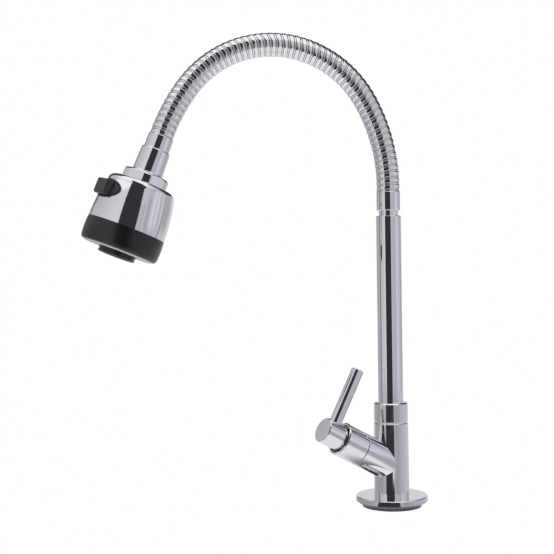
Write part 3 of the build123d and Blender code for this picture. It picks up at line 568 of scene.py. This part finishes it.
def spun(name, corners, sides=round_sides):
    """Spin an outline once round Z; it is closed unless it starts on the axis."""
    corners = list(corners)
    piece = draw_outline(name, corners + [corners[0]] if corners[0][0] > 0 else corners)
    bpy.ops.object.mode_set(mode="EDIT")
    bpy.ops.mesh.select_all(action="SELECT")
    bpy.ops.mesh.spin(steps=sides, angle=2 * pi, center=(0, 0, 0), axis=(0, 0, 1))
    bpy.ops.object.mode_set(mode="OBJECT")
    tidy_mesh(piece)
    return piece


def apply_modifier(piece, kind, **settings):
    """Add a modifier, set it and apply it."""
    make_active(piece)
    modifier = piece.modifiers.new(kind.lower(), kind)
    for name, value in settings.items():
        setattr(modifier, name, value)
    bpy.ops.object.modifier_apply(modifier=modifier.name)


def broken_edges(piece, width=edge_break, angle=30):
    """Bevel the edges that turn by more than an angle, by a width in millimetres."""
    apply_modifier(piece, "BEVEL", width=mm(width), segments=3, limit_method="ANGLE",
                   angle_limit=radians(angle), miter_outer="MITER_ARC")


def cut(piece, tool, operation="DIFFERENCE"):
    """Cut a piece with a tool, join the two or keep what they share; the tool is used up."""
    apply_modifier(piece, "BOOLEAN", object=tool, operation=operation, solver="EXACT")
    bpy.data.objects.remove(tool)


def set_down(piece, place=Matrix.Identity(4)):
    """Move a piece to its place and leave its object at the origin."""
    make_active(piece)
    piece.matrix_world = place
    bpy.ops.object.transform_apply(location=True, rotation=True, scale=True)


def finished(piece, material, body, replaced, smooth=32, weighted=True):
    """Smooth, paint and hang a piece on its body, in place of its CAD nodes."""
    make_active(piece)
    bpy.ops.object.shade_smooth_by_angle(angle=radians(smooth))
    if weighted:
        apply_modifier(piece, "WEIGHTED_NORMAL", keep_sharp=True)
    piece.data.materials.clear()
    piece.data.materials.append(material)
    if replaced:
        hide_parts(*replaced)
    if body:
        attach(piece, body)
    print(piece.name, len(piece.data.polygons), "faces")
    return piece


def turned(name, corners, material, body, replaced, place=Matrix.Identity(4), edge=edge_break,
           sides=round_sides):
    """A lathe piece from outline to finish."""
    piece = spun(name, corners, sides)
    if edge:
        broken_edges(piece, edge)
    set_down(piece, place)
    return finished(piece, material, body, replaced)


def arc(centre, radius, start, end, steps):
    """Corners along an arc of an outline, in degrees from the radius direction."""
    angles = [radians(start + (end - start) * step / steps) for step in range(steps + 1)]
    return [(centre[0] + radius * cos(angle), centre[1] + radius * sin(angle)) for angle in angles]


print("lathe ready, sides", round_sides)

# %% [markdown]
# The base is a thick polished flange on a thin grey rubber gasket. Its rim stands straight, its foot
# draws in so that a dark shadow line parts it from the deck, and its top is dead flat: it mirrors
# the body. It is turned from one outline, from the hole for the shank outwards.

# %% Base flange and gasket
seat_height = 8.3
shank_hole = 10.78
gasket_top = 1.6
gasket_radius = 22.8
foot_radius = 23.4
rim_radius = 27.45

turned("flange", [(shank_hole, gasket_top), (foot_radius, gasket_top), (rim_radius, 4.2),
                  (rim_radius, 7.8), (26.95, seat_height), (shank_hole, seat_height)],
       chrome_plating, "tap", ["base_flange"], edge=0.12, sides=fine_sides)
turned("gasket", [(shank_hole, 0), (22.6, 0), (gasket_radius, 0.3), (gasket_radius, gasket_top),
                  (shank_hole, gasket_top)],
       grey_rubber, "tap", ["base_gasket"], edge=0)

# %% [markdown]
# The body is one casting: an upright column with a slanting branch for the valve. Two lathe pieces
# are joined with a Boolean, which gives the crisp saddle where the branch meets the column. The
# column is a little wider at its foot, and its top edge is broken where the collar turns on it.

# %% Branch place
body_top = 64.2
branch_height = 31.0
branch_rise = radians(28)
branch_turn = radians(16)
branch_radius = 12.8
branch_axis = Vector((
    -cos(branch_turn) * cos(branch_rise), -sin(branch_turn) * cos(branch_rise), sin(branch_rise)))
lever_axis = Vector((
    cos(branch_turn) * sin(branch_rise), sin(branch_turn) * sin(branch_rise), cos(branch_rise)))


def place_of(origin, x_axis, z_axis):
    """A place from its origin in metres and its X and Z directions."""
    x, z = Vector(x_axis).normalized(), Vector(z_axis).normalized()
    turns = Matrix((x, z.cross(x), z)).transposed().to_4x4()
    return Matrix.Translation(origin) @ turns


branch = place_of(mm(0, 0, branch_height), lever_axis, branch_axis)
print("branch axis", [round(part, 4) for part in branch_axis])

# %% Body column and branch
column_foot = 13.45
socket_radius = 9.3
socket_floor = 50.0
bore_radius = 9.5
bore_floor = 8.0
stub_end = 33.1

column = spun("body", [(0, seat_height), (column_foot, seat_height), (column_foot, seat_height + 0.4),
                       (13.1, body_top - 0.35), (12.75, body_top), (socket_radius, body_top),
                       (socket_radius, socket_floor), (0, socket_floor)], sides=fine_sides)
stub = spun("branch", [(0, 0), (branch_radius, 0), (branch_radius, stub_end - 0.15),
                       (branch_radius - 0.15, stub_end), (0, stub_end)], sides=fine_sides)
set_down(stub, branch)
cut(column, stub, "UNION")
bore = spun("bore", [(0, bore_floor), (bore_radius, bore_floor), (bore_radius, stub_end + 2),
                     (0, stub_end + 2)])
set_down(bore, branch)
cut(column, bore)
tidy_mesh(column)
finished(column, chrome_plating, "tap", ["tap_body"], smooth=28)

# %% [markdown]
# A polished sleeve covers the cartridge at the end of the branch, with a hairline gap to the body.
# The lever's hub turns inside its mouth. The hub's end face is flat, so it shows one even grey,
# and the rod screws into a counterbore in the hub's side.

# %% Bonnet sleeve
sleeve_low = 33.35
sleeve_high = 52.75

turned("bonnet", [(10.9, sleeve_low), (branch_radius - 0.25, sleeve_low),
                  (branch_radius, sleeve_low + 0.25), (branch_radius, sleeve_high - 0.7),
                  (branch_radius - 0.7, sleeve_high), (11.4, sleeve_high), (10.7, sleeve_high - 0.7),
                  (10.7, 44.25), (7.05, 44.25), (7.05, 39.75), (10.9, 39.75)],
       chrome_plating, "tap", ["bonnet_sleeve"], branch, edge=0.1)

# %% Lever hub and rod
hub_low = 49.55
hub_high = 69.05
hub_radius = 9.6
rod_station = 61.45
rod_radius = 4.75
rod_reach = 52.5
rod_seat = 7.9
rod_round = 0.9
across = place_of(branch @ mm(0, 0, rod_station), lever_axis.cross(branch_axis), lever_axis)

hub = spun("hub", [(0, hub_low), (hub_radius - 0.5, hub_low), (hub_radius, hub_low + 0.5),
                   (hub_radius, hub_high - 0.5), (hub_radius - 0.5, hub_high), (0, hub_high)],
           sides=fine_sides)
set_down(hub, branch)
counterbore = spun("counterbore", [(0, rod_seat), (5.15, rod_seat), (5.15, hub_radius + 2),
                                   (0, hub_radius + 2)])
set_down(counterbore, across)
cut(hub, counterbore)
tidy_mesh(hub)
broken_edges(hub, 0.12, 40)
finished(hub, chrome_plating, "lever", ["lever_hub"])

turned("rod", [(0, 2.4), (3.0, 2.4), (3.0, rod_seat), (rod_radius, rod_seat)]
       + arc((rod_radius - rod_round, rod_reach - rod_round), rod_round, 0, 90, 6) + [(0, rod_reach)],
       chrome_plating, "lever", ["lever_rod"], across, edge=0.08)

# %% [markdown]
# The riser turns on the body. A collar with a bevelled top hides the joint, the tube runs up plain,
# and at its top a recessed neck leads to the ferrule that grips the bendable part.

# %% Collar, riser tube and lower ferrule
collar_low = 65.2
collar_high = 79.8
tube_low = 66.4
tube_high = 223.2
tube_radius = 9.525
ferrule_low = 227.1
neck_foot = 242.1

turned("collar", [(9.05, collar_low), (12.65, collar_low), (13.0, collar_low + 0.35),
                  (13.0, collar_high - 0.9), (12.1, collar_high), (tube_radius + 0.05, collar_high),
                  (tube_radius + 0.05, tube_low), (9.05, tube_low)],
       chrome_plating, "spout", ["swivel_collar"], edge=0.08, sides=fine_sides)
turned("riser", [(8.325, tube_low), (tube_radius, tube_low), (tube_radius, tube_high - 0.4),
                 (tube_radius - 0.4, tube_high), (8.325, tube_high)],
       chrome_plating, "spout", ["riser_tube"], edge=0.1, sides=fine_sides)
turned("riser_neck", [(2.9, tube_high - 14), (8.275, tube_high - 14), (8.275, tube_high),
                      (7.35, tube_high), (7.35, ferrule_low + 4.8), (4.1, ferrule_low + 4.8),
                      (4.1, ferrule_low + 17.8), (2.9, ferrule_low + 17.8)],
       chrome_plating, "spout", ["riser_plug"], edge=0.08)
turned("ferrule_below", [(7.4, ferrule_low), (8.35, ferrule_low), (9.05, ferrule_low + 0.7),
                         (9.05, neck_foot - 0.7), (8.35, neck_foot), (7.8, neck_foot),
                         (7.8, neck_foot - 10), (7.4, neck_foot - 10)],
       chrome_plating, "spout", ["lower_ferrule"], edge=0.1)

# %% [markdown]
# The neck is the part that bends. On the real one a steel strip is wound into a tube: a broad,
# barely crowned band, then a narrow lower band where the next turn slides in the seam. One pitch
# of that section is drawn, a Screw modifier winds it, and a Curve modifier lays it along the arch.
#
# The frame bends the neck at eleven joints, so the skin comes in eleven lengths, one round each
# joint, and neighbours meet half-way along a body.

# %% Neck line
neck_straight = 3.3
neck_margin = 20.0
line_divisions = 1160
neck_arcs = [(132.4, 29.7), (81.7, 113.5), (146.5, 15.3)]
neck_length = 2 * neck_straight + sum(radius * radians(turn) for radius, turn in neck_arcs)
rib_count = 58
rib_pitch = neck_length / rib_count


def neck_point(distance):
    """The neck's centre and direction at a distance from its foot, in millimetres."""
    heading, left = 0.0, distance
    step = min(left, neck_straight)
    point = Vector((0, 0, neck_foot + step))
    left -= step
    for radius, turn in neck_arcs:
        swept = min(left / radius, radians(turn))
        before = Vector((-cos(heading), 0, -sin(heading)))
        heading += swept
        point += radius * (before - Vector((-cos(heading), 0, -sin(heading))))
        left -= radius * swept
    along = Vector((-sin(heading), 0, cos(heading)))
    return point + left * along, along


def neck_curve():
    """The neck's centre line as a finely divided curve, with a margin at both ends."""
    data = bpy.data.curves.new("neck_line", "CURVE")
    data.dimensions = "3D"
    line = data.splines.new("POLY")
    data.twist_mode = "MINIMUM"
    line.points.add(line_divisions)
    for number, point in enumerate(line.points):
        place, _ = neck_point((neck_length + 2 * neck_margin) * number / line_divisions - neck_margin)
        point.co = (*mm(*place), 1)
    curve = bpy.data.objects.new("neck_line", data)
    bpy.context.scene.collection.objects.link(curve)
    return curve


neck_end, head_axis = neck_point(neck_length)
neck_line = neck_curve()
print("neck", round(neck_length, 2), "mm, pitch", round(rib_pitch, 3), "ends at",
      [round(part, 2) for part in neck_end])

# %% Wound strip section
seam_shade_radius = 8.57
seam_shade_fade = 0.25
band_section = [
    (8.15, 0.0), (8.2, 0.05), (8.5, 0.1), (8.72, 0.18), (8.83, 0.34), (8.88, 0.65), (8.895, 1.1),
    (8.9, 1.7), (8.895, 2.25), (8.88, 2.7), (8.83, 3.0), (8.72, 3.15), (8.42, 3.24), (8.15, 3.3),
    (8.15, 3.38), (8.42, 3.44), (8.55, 3.54), (8.58, 3.7), (8.58, 4.3), (8.55, 4.46), (8.42, 4.58),
    (8.15, 4.66), (8.15, rib_pitch),
]
turn_steps = 72
bisect_distance = 1e-7


def bent(piece):
    """Lay a straight piece along the neck, whose foot is at Z = 0 of the piece."""
    make_active(piece)
    bpy.ops.object.mode_set(mode="EDIT")
    bpy.ops.mesh.select_all(action="SELECT")
    bpy.ops.transform.translate(value=mm(0, 0, neck_margin))
    bpy.ops.object.mode_set(mode="OBJECT")
    apply_modifier(piece, "CURVE", object=neck_line, deform_axis="POS_Z")


def wound_length(name, low, high):
    """Wind the strip between two rib numbers, mark its seams and lay it along the neck."""
    first, last = int(low) - 1, int(high) + 2
    piece = draw_outline(name, band_section)
    apply_modifier(piece, "SCREW", axis="Z", screw_offset=mm(rib_pitch), iterations=last - first,
                   steps=turn_steps, render_steps=turn_steps, use_merge_vertices=True,
                   merge_threshold=merge_distance)
    make_active(piece)
    bpy.ops.object.mode_set(mode="EDIT")
    bpy.ops.mesh.select_all(action="SELECT")
    bpy.ops.mesh.remove_doubles(threshold=merge_distance)
    bpy.ops.transform.translate(value=mm(0, 0, first * rib_pitch))
    for height, side in ((low * rib_pitch, "clear_inner"), (high * rib_pitch, "clear_outer")):
        bpy.ops.mesh.select_all(action="SELECT")
        bpy.ops.mesh.bisect(plane_co=mm(0, 0, height), plane_no=(0, 0, 1), threshold=bisect_distance,
                            **{side: True})
    bpy.ops.mesh.select_all(action="SELECT")
    bpy.ops.mesh.flip_normals()
    bpy.ops.object.mode_set(mode="OBJECT")
    # How deep each point lies in the seam, for the painted shade.
    marks = piece.data.attributes.new(seam_attribute, "FLOAT", "POINT")
    for vertex, mark in zip(piece.data.vertices, marks.data):
        radius = hypot(vertex.co.x, vertex.co.y) / mm(1)
        mark.value = min(1, max(0, (seam_shade_radius - radius) / seam_shade_fade))
    bent(piece)
    return piece


# %% Neck lengths
ends_hidden = 0.2
first_joint = 4
ribs_between = 5
ribs_to_cut = 3
half_blend = 1.5
joint_count = 11
joint_ribs = [first_joint + ribs_between * number for number in range(joint_count)]
cuts = [-ends_hidden] + [rib + ribs_to_cut for rib in joint_ribs[:-1]] + [rib_count + ends_hidden]


def blended_across(piece, number):
    """Bake a piece of the neck into its place; the ends of its joint's blend are worked out but not
    used.
    """
    start, end = (mm(*neck_point((joint_ribs[number] + side) * rib_pitch)[0])
                  for side in (-half_blend, half_blend))
    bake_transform(piece)


for number, (low, high) in enumerate(zip(cuts, cuts[1:])):
    length = wound_length(f"neck_length_{number + 1:02d}", low, high)
    covered = [f"neck_section_{number + 1:02d}"]
    if number == joint_count - 1:
        covered.append("neck_section_12")
    finished(length, wound_strip, None, covered, smooth=50, weighted=False)
    blended_across(length, number)

# %% [markdown]
# The strip only covers the neck. Inside it a rubber hose brings the water to the head. It never
# shows, but a reader who takes the faucet apart finds it, cut in the same lengths as the neck.

# %% Water hose
hose_radius = 5.6
hose_bore = 4.2
hose_step = 2.0
hose_sides = 32
hose_low, hose_high = -9.7, neck_length + 8.5

hose_cuts = [hose_low] + [cut_rib * rib_pitch for cut_rib in cuts[1:-1]] + [hose_high]
for number, (low, high) in enumerate(zip(hose_cuts, hose_cuts[1:])):
    rows = int((high - low) / hose_step) + 1
    stations = [low + (high - low) * row / rows for row in range(rows + 1)]
    hose = spun(f"hose_length_{number + 1:02d}", [(hose_bore, station) for station in reversed(stations)]
                + [(hose_radius, station) for station in stations], hose_sides)
    bent(hose)
    finished(hose, nitrile_rubber, None, ["inner_hose"], weighted=False)
    blended_across(hose, number)
bpy.data.objects.remove(neck_line)

# %% [markdown]
# At the neck's end everything hangs on the head's slanting axis, so from here on the lathe pieces
# are drawn down that axis and set down at the neck's end: first the ferrule that grips the neck,
# then the flared connector, whose foot has a thin lip over the union nut.

# %% Upper ferrule and connector
head = place_of(mm(*neck_end), (0, -1, 0), head_axis)
ferrule_high = 10.8
connector_low = 30.0
connector_round = 1.2

turned("ferrule_above", [(7.8, 0), (8.8, 0), (9.5, 0.7), (9.5, ferrule_high), (4.15, ferrule_high),
                         (4.15, ferrule_high - 1.1), (7.8, ferrule_high - 1.1)],
       chrome_plating, "head_neck", ["upper_ferrule"], head, edge=0.1)
turned("connector", [(2.9, ferrule_high - 12), (4.1, ferrule_high - 12), (4.1, ferrule_high)]
       + arc((10.8 - connector_round, ferrule_high + connector_round), connector_round, -90, 0, 6)
       + [(11.4, connector_low - 1.1), (11.75, connector_low - 0.55), (11.75, connector_low),
          (10.6, connector_low), (10.6, connector_low + 2.4), (13.2, connector_low + 2.4),
          (13.2, connector_low + 4.2), (7, connector_low + 4.2), (7, ferrule_high + 1.2),
          (2.9, ferrule_high + 1.2)],
       chrome_plating, "head_neck", ["head_connector"], head, edge=0.1, sides=fine_sides)

# %% [markdown]
# The union nut is a hexagon cut from turned bar: its flats are planed first, and its corners are
# rounded off and bevelled on the lathe afterwards, which leaves the curved ends that every nut
# shows. The same order is used here, as a hexagonal prism that keeps what it shares with a turned
# one.

# %% Union nut
union_high = 30.25
union_low = 37.45
union_width = 33.2
corner_radius = 17.5
cone_sides = 144

bpy.ops.object.select_all(action="DESELECT")
bpy.ops.mesh.primitive_cylinder_add(
    vertices=6, radius=mm(union_width / sqrt(3)), depth=mm(union_low - union_high),
    location=mm(0, 0, (union_high + union_low) / 2), rotation=(0, 0, radians(30)))
nut = bpy.context.object
nut.name = "union_nut_skin"
bpy.ops.object.transform_apply(location=True, rotation=True, scale=True)
cone = spun("cone", [(10.9, union_high), (16.2, union_high), (corner_radius, union_high + 1.3),
                     (corner_radius, union_low), (14.2, union_low), (14.2, union_high + 1.9),
                     (10.9, union_high + 1.9)], cone_sides)
cut(nut, cone, "INTERSECT")
tidy_mesh(nut)
broken_edges(nut, 0.2, 25)
set_down(nut, head)
finished(nut, chrome_plating, "head", ["union_nut"])

# %% [markdown]
# The spray head's shell is a plated drum whose side swells a little towards its foot. Its section
# is one arc for the side and a smaller one for the shoulder. The opening for the button is cut
# with an oval bar across the head, and the same bar, a size smaller, shapes the button and its
# rim, each kept where it meets a thin layer that follows the shell's side.

# %% Shell side
shell_high = 38.05
shell_low = 72.95
shell_wall = 1.8
shoulder = 4.4
side_points = [(25.5, shell_high + shoulder), (27.95, shell_high + 17.45), (29.15, shell_low)]
side_steps = 30
shoulder_steps = 10
shell_sides = 256
layer_sides = 192


def arc_through(first, middle, last, steps):
    """Corners along the arc through three points."""
    (ax, ay), (bx, by), (cx, cy) = first, middle, last
    scale = 2 * (ax * (by - cy) + bx * (cy - ay) + cx * (ay - by))
    a, b, c = ax * ax + ay * ay, bx * bx + by * by, cx * cx + cy * cy
    centre = ((a * (by - cy) + b * (cy - ay) + c * (ay - by)) / scale,
              (a * (cx - bx) + b * (ax - cx) + c * (bx - ax)) / scale)
    start, end = (degrees(atan2(y - centre[1], x - centre[0])) for x, y in (first, last))
    return arc(centre, hypot(ax - centre[0], ay - centre[1]), start, end, steps)


def shell_line(offset):
    """The shell's outer line, from the flat of its top to its foot, moved inwards by an offset."""
    side = arc_through(*[(radius - offset, height) for radius, height in side_points], side_steps)
    middle = (side_points[0][0] - shoulder, shell_high + shoulder)
    return arc(middle, shoulder - offset, -90, 0, shoulder_steps)[:-1] + side


def side_layer(name, proud, depth):
    """A layer from proud of the shell's face to a depth under it."""
    return spun(name, shell_line(-proud) + shell_line(depth)[::-1], sides=layer_sides)


# %% Oval bars across the head
button_turn = 65.0
button_high = shell_high + 12.9
button_width = 14.9
button_height = 7.4
opening_play = 0.05
rim_wall = 0.75
plate_inset = 1.05
bar_start, bar_end = 18.5, 45
button_place = Matrix.Translation(mm(0, 0, button_high)) @ Matrix.Rotation(radians(button_turn), 4, "Z")


def oval_bar(name, half_width, half_height, start, end):
    """An oval bar along X, wide along Y and high along Z."""
    bpy.ops.object.select_all(action="DESELECT")
    bpy.ops.mesh.primitive_cylinder_add(vertices=fine_sides, radius=1, depth=mm(end - start))
    bar = bpy.context.object
    bar.name = name
    bar.scale = (mm(half_height), mm(half_width), 1)
    bpy.ops.object.transform_apply(location=True, rotation=True, scale=True)
    set_down(bar, Matrix.Translation(mm((start + end) / 2, 0, 0)) @ Matrix.Rotation(radians(90), 4, "Y"))
    set_down(bar, button_place)
    return bar


# %% Head shell
shell = spun("shell", [(14.2, shell_high)] + shell_line(0) + shell_line(shell_wall)[::-1]
             + [(14.2, shell_high + shell_wall)], sides=shell_sides)
cut(shell, oval_bar("opening", button_width + opening_play, button_height + opening_play, 15, bar_end))
tidy_mesh(shell)
broken_edges(shell, 0.12, 40)
set_down(shell, head)
finished(shell, chrome_plating, "head", ["head_shell"], smooth=30)

# %% [markdown]
# The button is moulded in black. A thin rim stands a little proud of the plating, the plate in it
# is pressed in, and a thick block on the plate gives the finger its purchase.

# %% Button rim and button
layer_depth = 2.6
rim_proud = 0.45
plate_proud = 0.9
paddle_inner, paddle_outer = 26.0, 32.1
paddle_width, paddle_height = 16.5, 11.4
paddle_round = 1.35
stem_radius = 2.4
stem_inner, stem_outer = 6.5, 27.6

rim = oval_bar("button_rim", button_width, button_height, bar_start, bar_end)
cut(rim, oval_bar("rim_hole", button_width - rim_wall, button_height - rim_wall, 10, 60))
cut(rim, side_layer("rim_layer", rim_proud, layer_depth), "INTERSECT")
tidy_mesh(rim)
broken_edges(rim, 0.12, 40)
set_down(rim, head)
finished(rim, black_abs, "head", ["button_bezel"])

plate = oval_bar("button", button_width - plate_inset, button_height - plate_inset, bar_start, bar_end)
cut(plate, side_layer("plate_layer", plate_proud, layer_depth), "INTERSECT")
bpy.ops.object.select_all(action="DESELECT")
bpy.ops.mesh.primitive_cube_add(size=1)
paddle = bpy.context.object
paddle.scale = mm(paddle_outer - paddle_inner, paddle_width, paddle_height)
bpy.ops.object.transform_apply(location=True, rotation=True, scale=True)
broken_edges(paddle, paddle_round, 30)
set_down(paddle, button_place @ Matrix.Translation(mm((paddle_inner + paddle_outer) / 2, 0, 0)))
cut(plate, paddle, "UNION")
stem = spun("stem", [(0, stem_inner), (stem_radius, stem_inner), (stem_radius, stem_outer),
                     (0, stem_outer)], 48)
set_down(stem, button_place @ Matrix.Rotation(radians(90), 4, "Y"))
cut(plate, stem, "UNION")
tidy_mesh(plate)
broken_edges(plate, 0.12, 40)
set_down(plate, head)
finished(plate, button_abs, "button", ["selector_button"])

# %% [markdown]
# Below the shell come the black ring, the pale spray plate with its holes, and the nozzle with a
# fine groove above its lower lip.

# %% Spray ring
ring_low = 89.95
ring_inner = 26.3
foot_round = 2.2
ring_sides = 160
ring_side = arc_through((29.15, shell_low), (29.55, shell_low + 6.8), (28.8, ring_low), 20)
ring_side = [point for point in ring_side if point[1] < ring_low - foot_round]
turned("ring", [(26.9, shell_low)] + ring_side
       + arc((28.87 - foot_round, ring_low - foot_round), foot_round, 0, 90, 8)
       + [(ring_inner, ring_low), (ring_inner, 74.4), (23.1, 74.4), (23.1, 72.4), (25.5, 72.4),
          (25.5, 66.95), (26.9, 66.95)],
       black_abs, "head", ["spray_ring"], head, edge=0.12, sides=ring_sides)

# %% Spray plate
plate_low = ring_low + 0.7
plate_radius = 25.95
plate_hole = 14.4
hole_radius = 0.65
hole_sides = 16
drill_length = 6
hole_rows = [(16.83, 18), (19.6, 22), (22.49, 26)]

spray = spun("spray", [(plate_hole, plate_low - 3.6), (24.45, plate_low - 3.6), (24.45, 74.45),
                       (plate_radius, 74.45), (plate_radius, plate_low - 0.6),
                       (plate_radius - 0.6, plate_low), (plate_hole, plate_low)], ring_sides)
drills = []
for radius, count in hole_rows:
    for number in range(count):
        bpy.ops.object.select_all(action="DESELECT")
        bpy.ops.mesh.primitive_cylinder_add(
            vertices=hole_sides, radius=mm(hole_radius), depth=mm(drill_length),
            location=Matrix.Rotation(2 * pi * number / count, 4, "Z") @ mm(radius, 0, plate_low - 2))
        drills.append(bpy.context.object)
for drill in drills:
    drill.select_set(True)
bpy.ops.object.join()
cut(spray, bpy.context.object)
tidy_mesh(spray)
set_down(spray, head)
finished(spray, grey_abs, "head", ["spray_plate"])

# %% Nozzle
nozzle_low = ring_low + 4.9
nozzle_radius = 14.0
skirt_high = nozzle_low - 9
groove = nozzle_low - 2.6
groove_depth = 0.5
groove_height = 0.9
lip_round = 1.3
turned("nozzle", [(9.55, skirt_high - 10), (12, skirt_high - 10), (12, skirt_high),
                  (nozzle_radius, skirt_high), (nozzle_radius, groove),
                  (nozzle_radius - groove_depth, groove),
                  (nozzle_radius - groove_depth, groove + groove_height),
                  (nozzle_radius, groove + groove_height)]
       + arc((nozzle_radius - lip_round, nozzle_low - lip_round), lip_round, 0, 90, 8)
       + [(10.9, nozzle_low), (10.9, skirt_high + 1.2), (9.55, skirt_high + 1.2)],
       black_abs, "head", ["aerator_housing"], head, edge=0.12, sides=fine_sides)

# %% [markdown]
# Everything else keeps the frame's own solid, because its shape is right and it hardly shows.
# Only its finish is set, after the material that the frame states for it.

# %% Finishes of the frame's own pieces
slot_finish = {
    "chrome_plate": chrome_plating, "neck_chrome": wound_strip, "raw_brass": turned_brass,
    "stainless": stainless_sheet, "black_plastic": black_abs, "grey_plastic": grey_abs,
    "white_plastic": white_acetal, "black_rubber": nitrile_rubber, "grey_rubber": grey_rubber,
    "valve_ceramic": ground_alumina,
}
kept = []
for part in frame["record"]["subparts"]:
    node = nodes.get(part["node"])
    if node and not node.hide_render:
        for place in range(len(node.material_slots)):
            node.material_slots[place].material = slot_finish[part["material_slot"]]
        kept.append(part["node"])
print(len(kept), "kept:", ", ".join(kept))
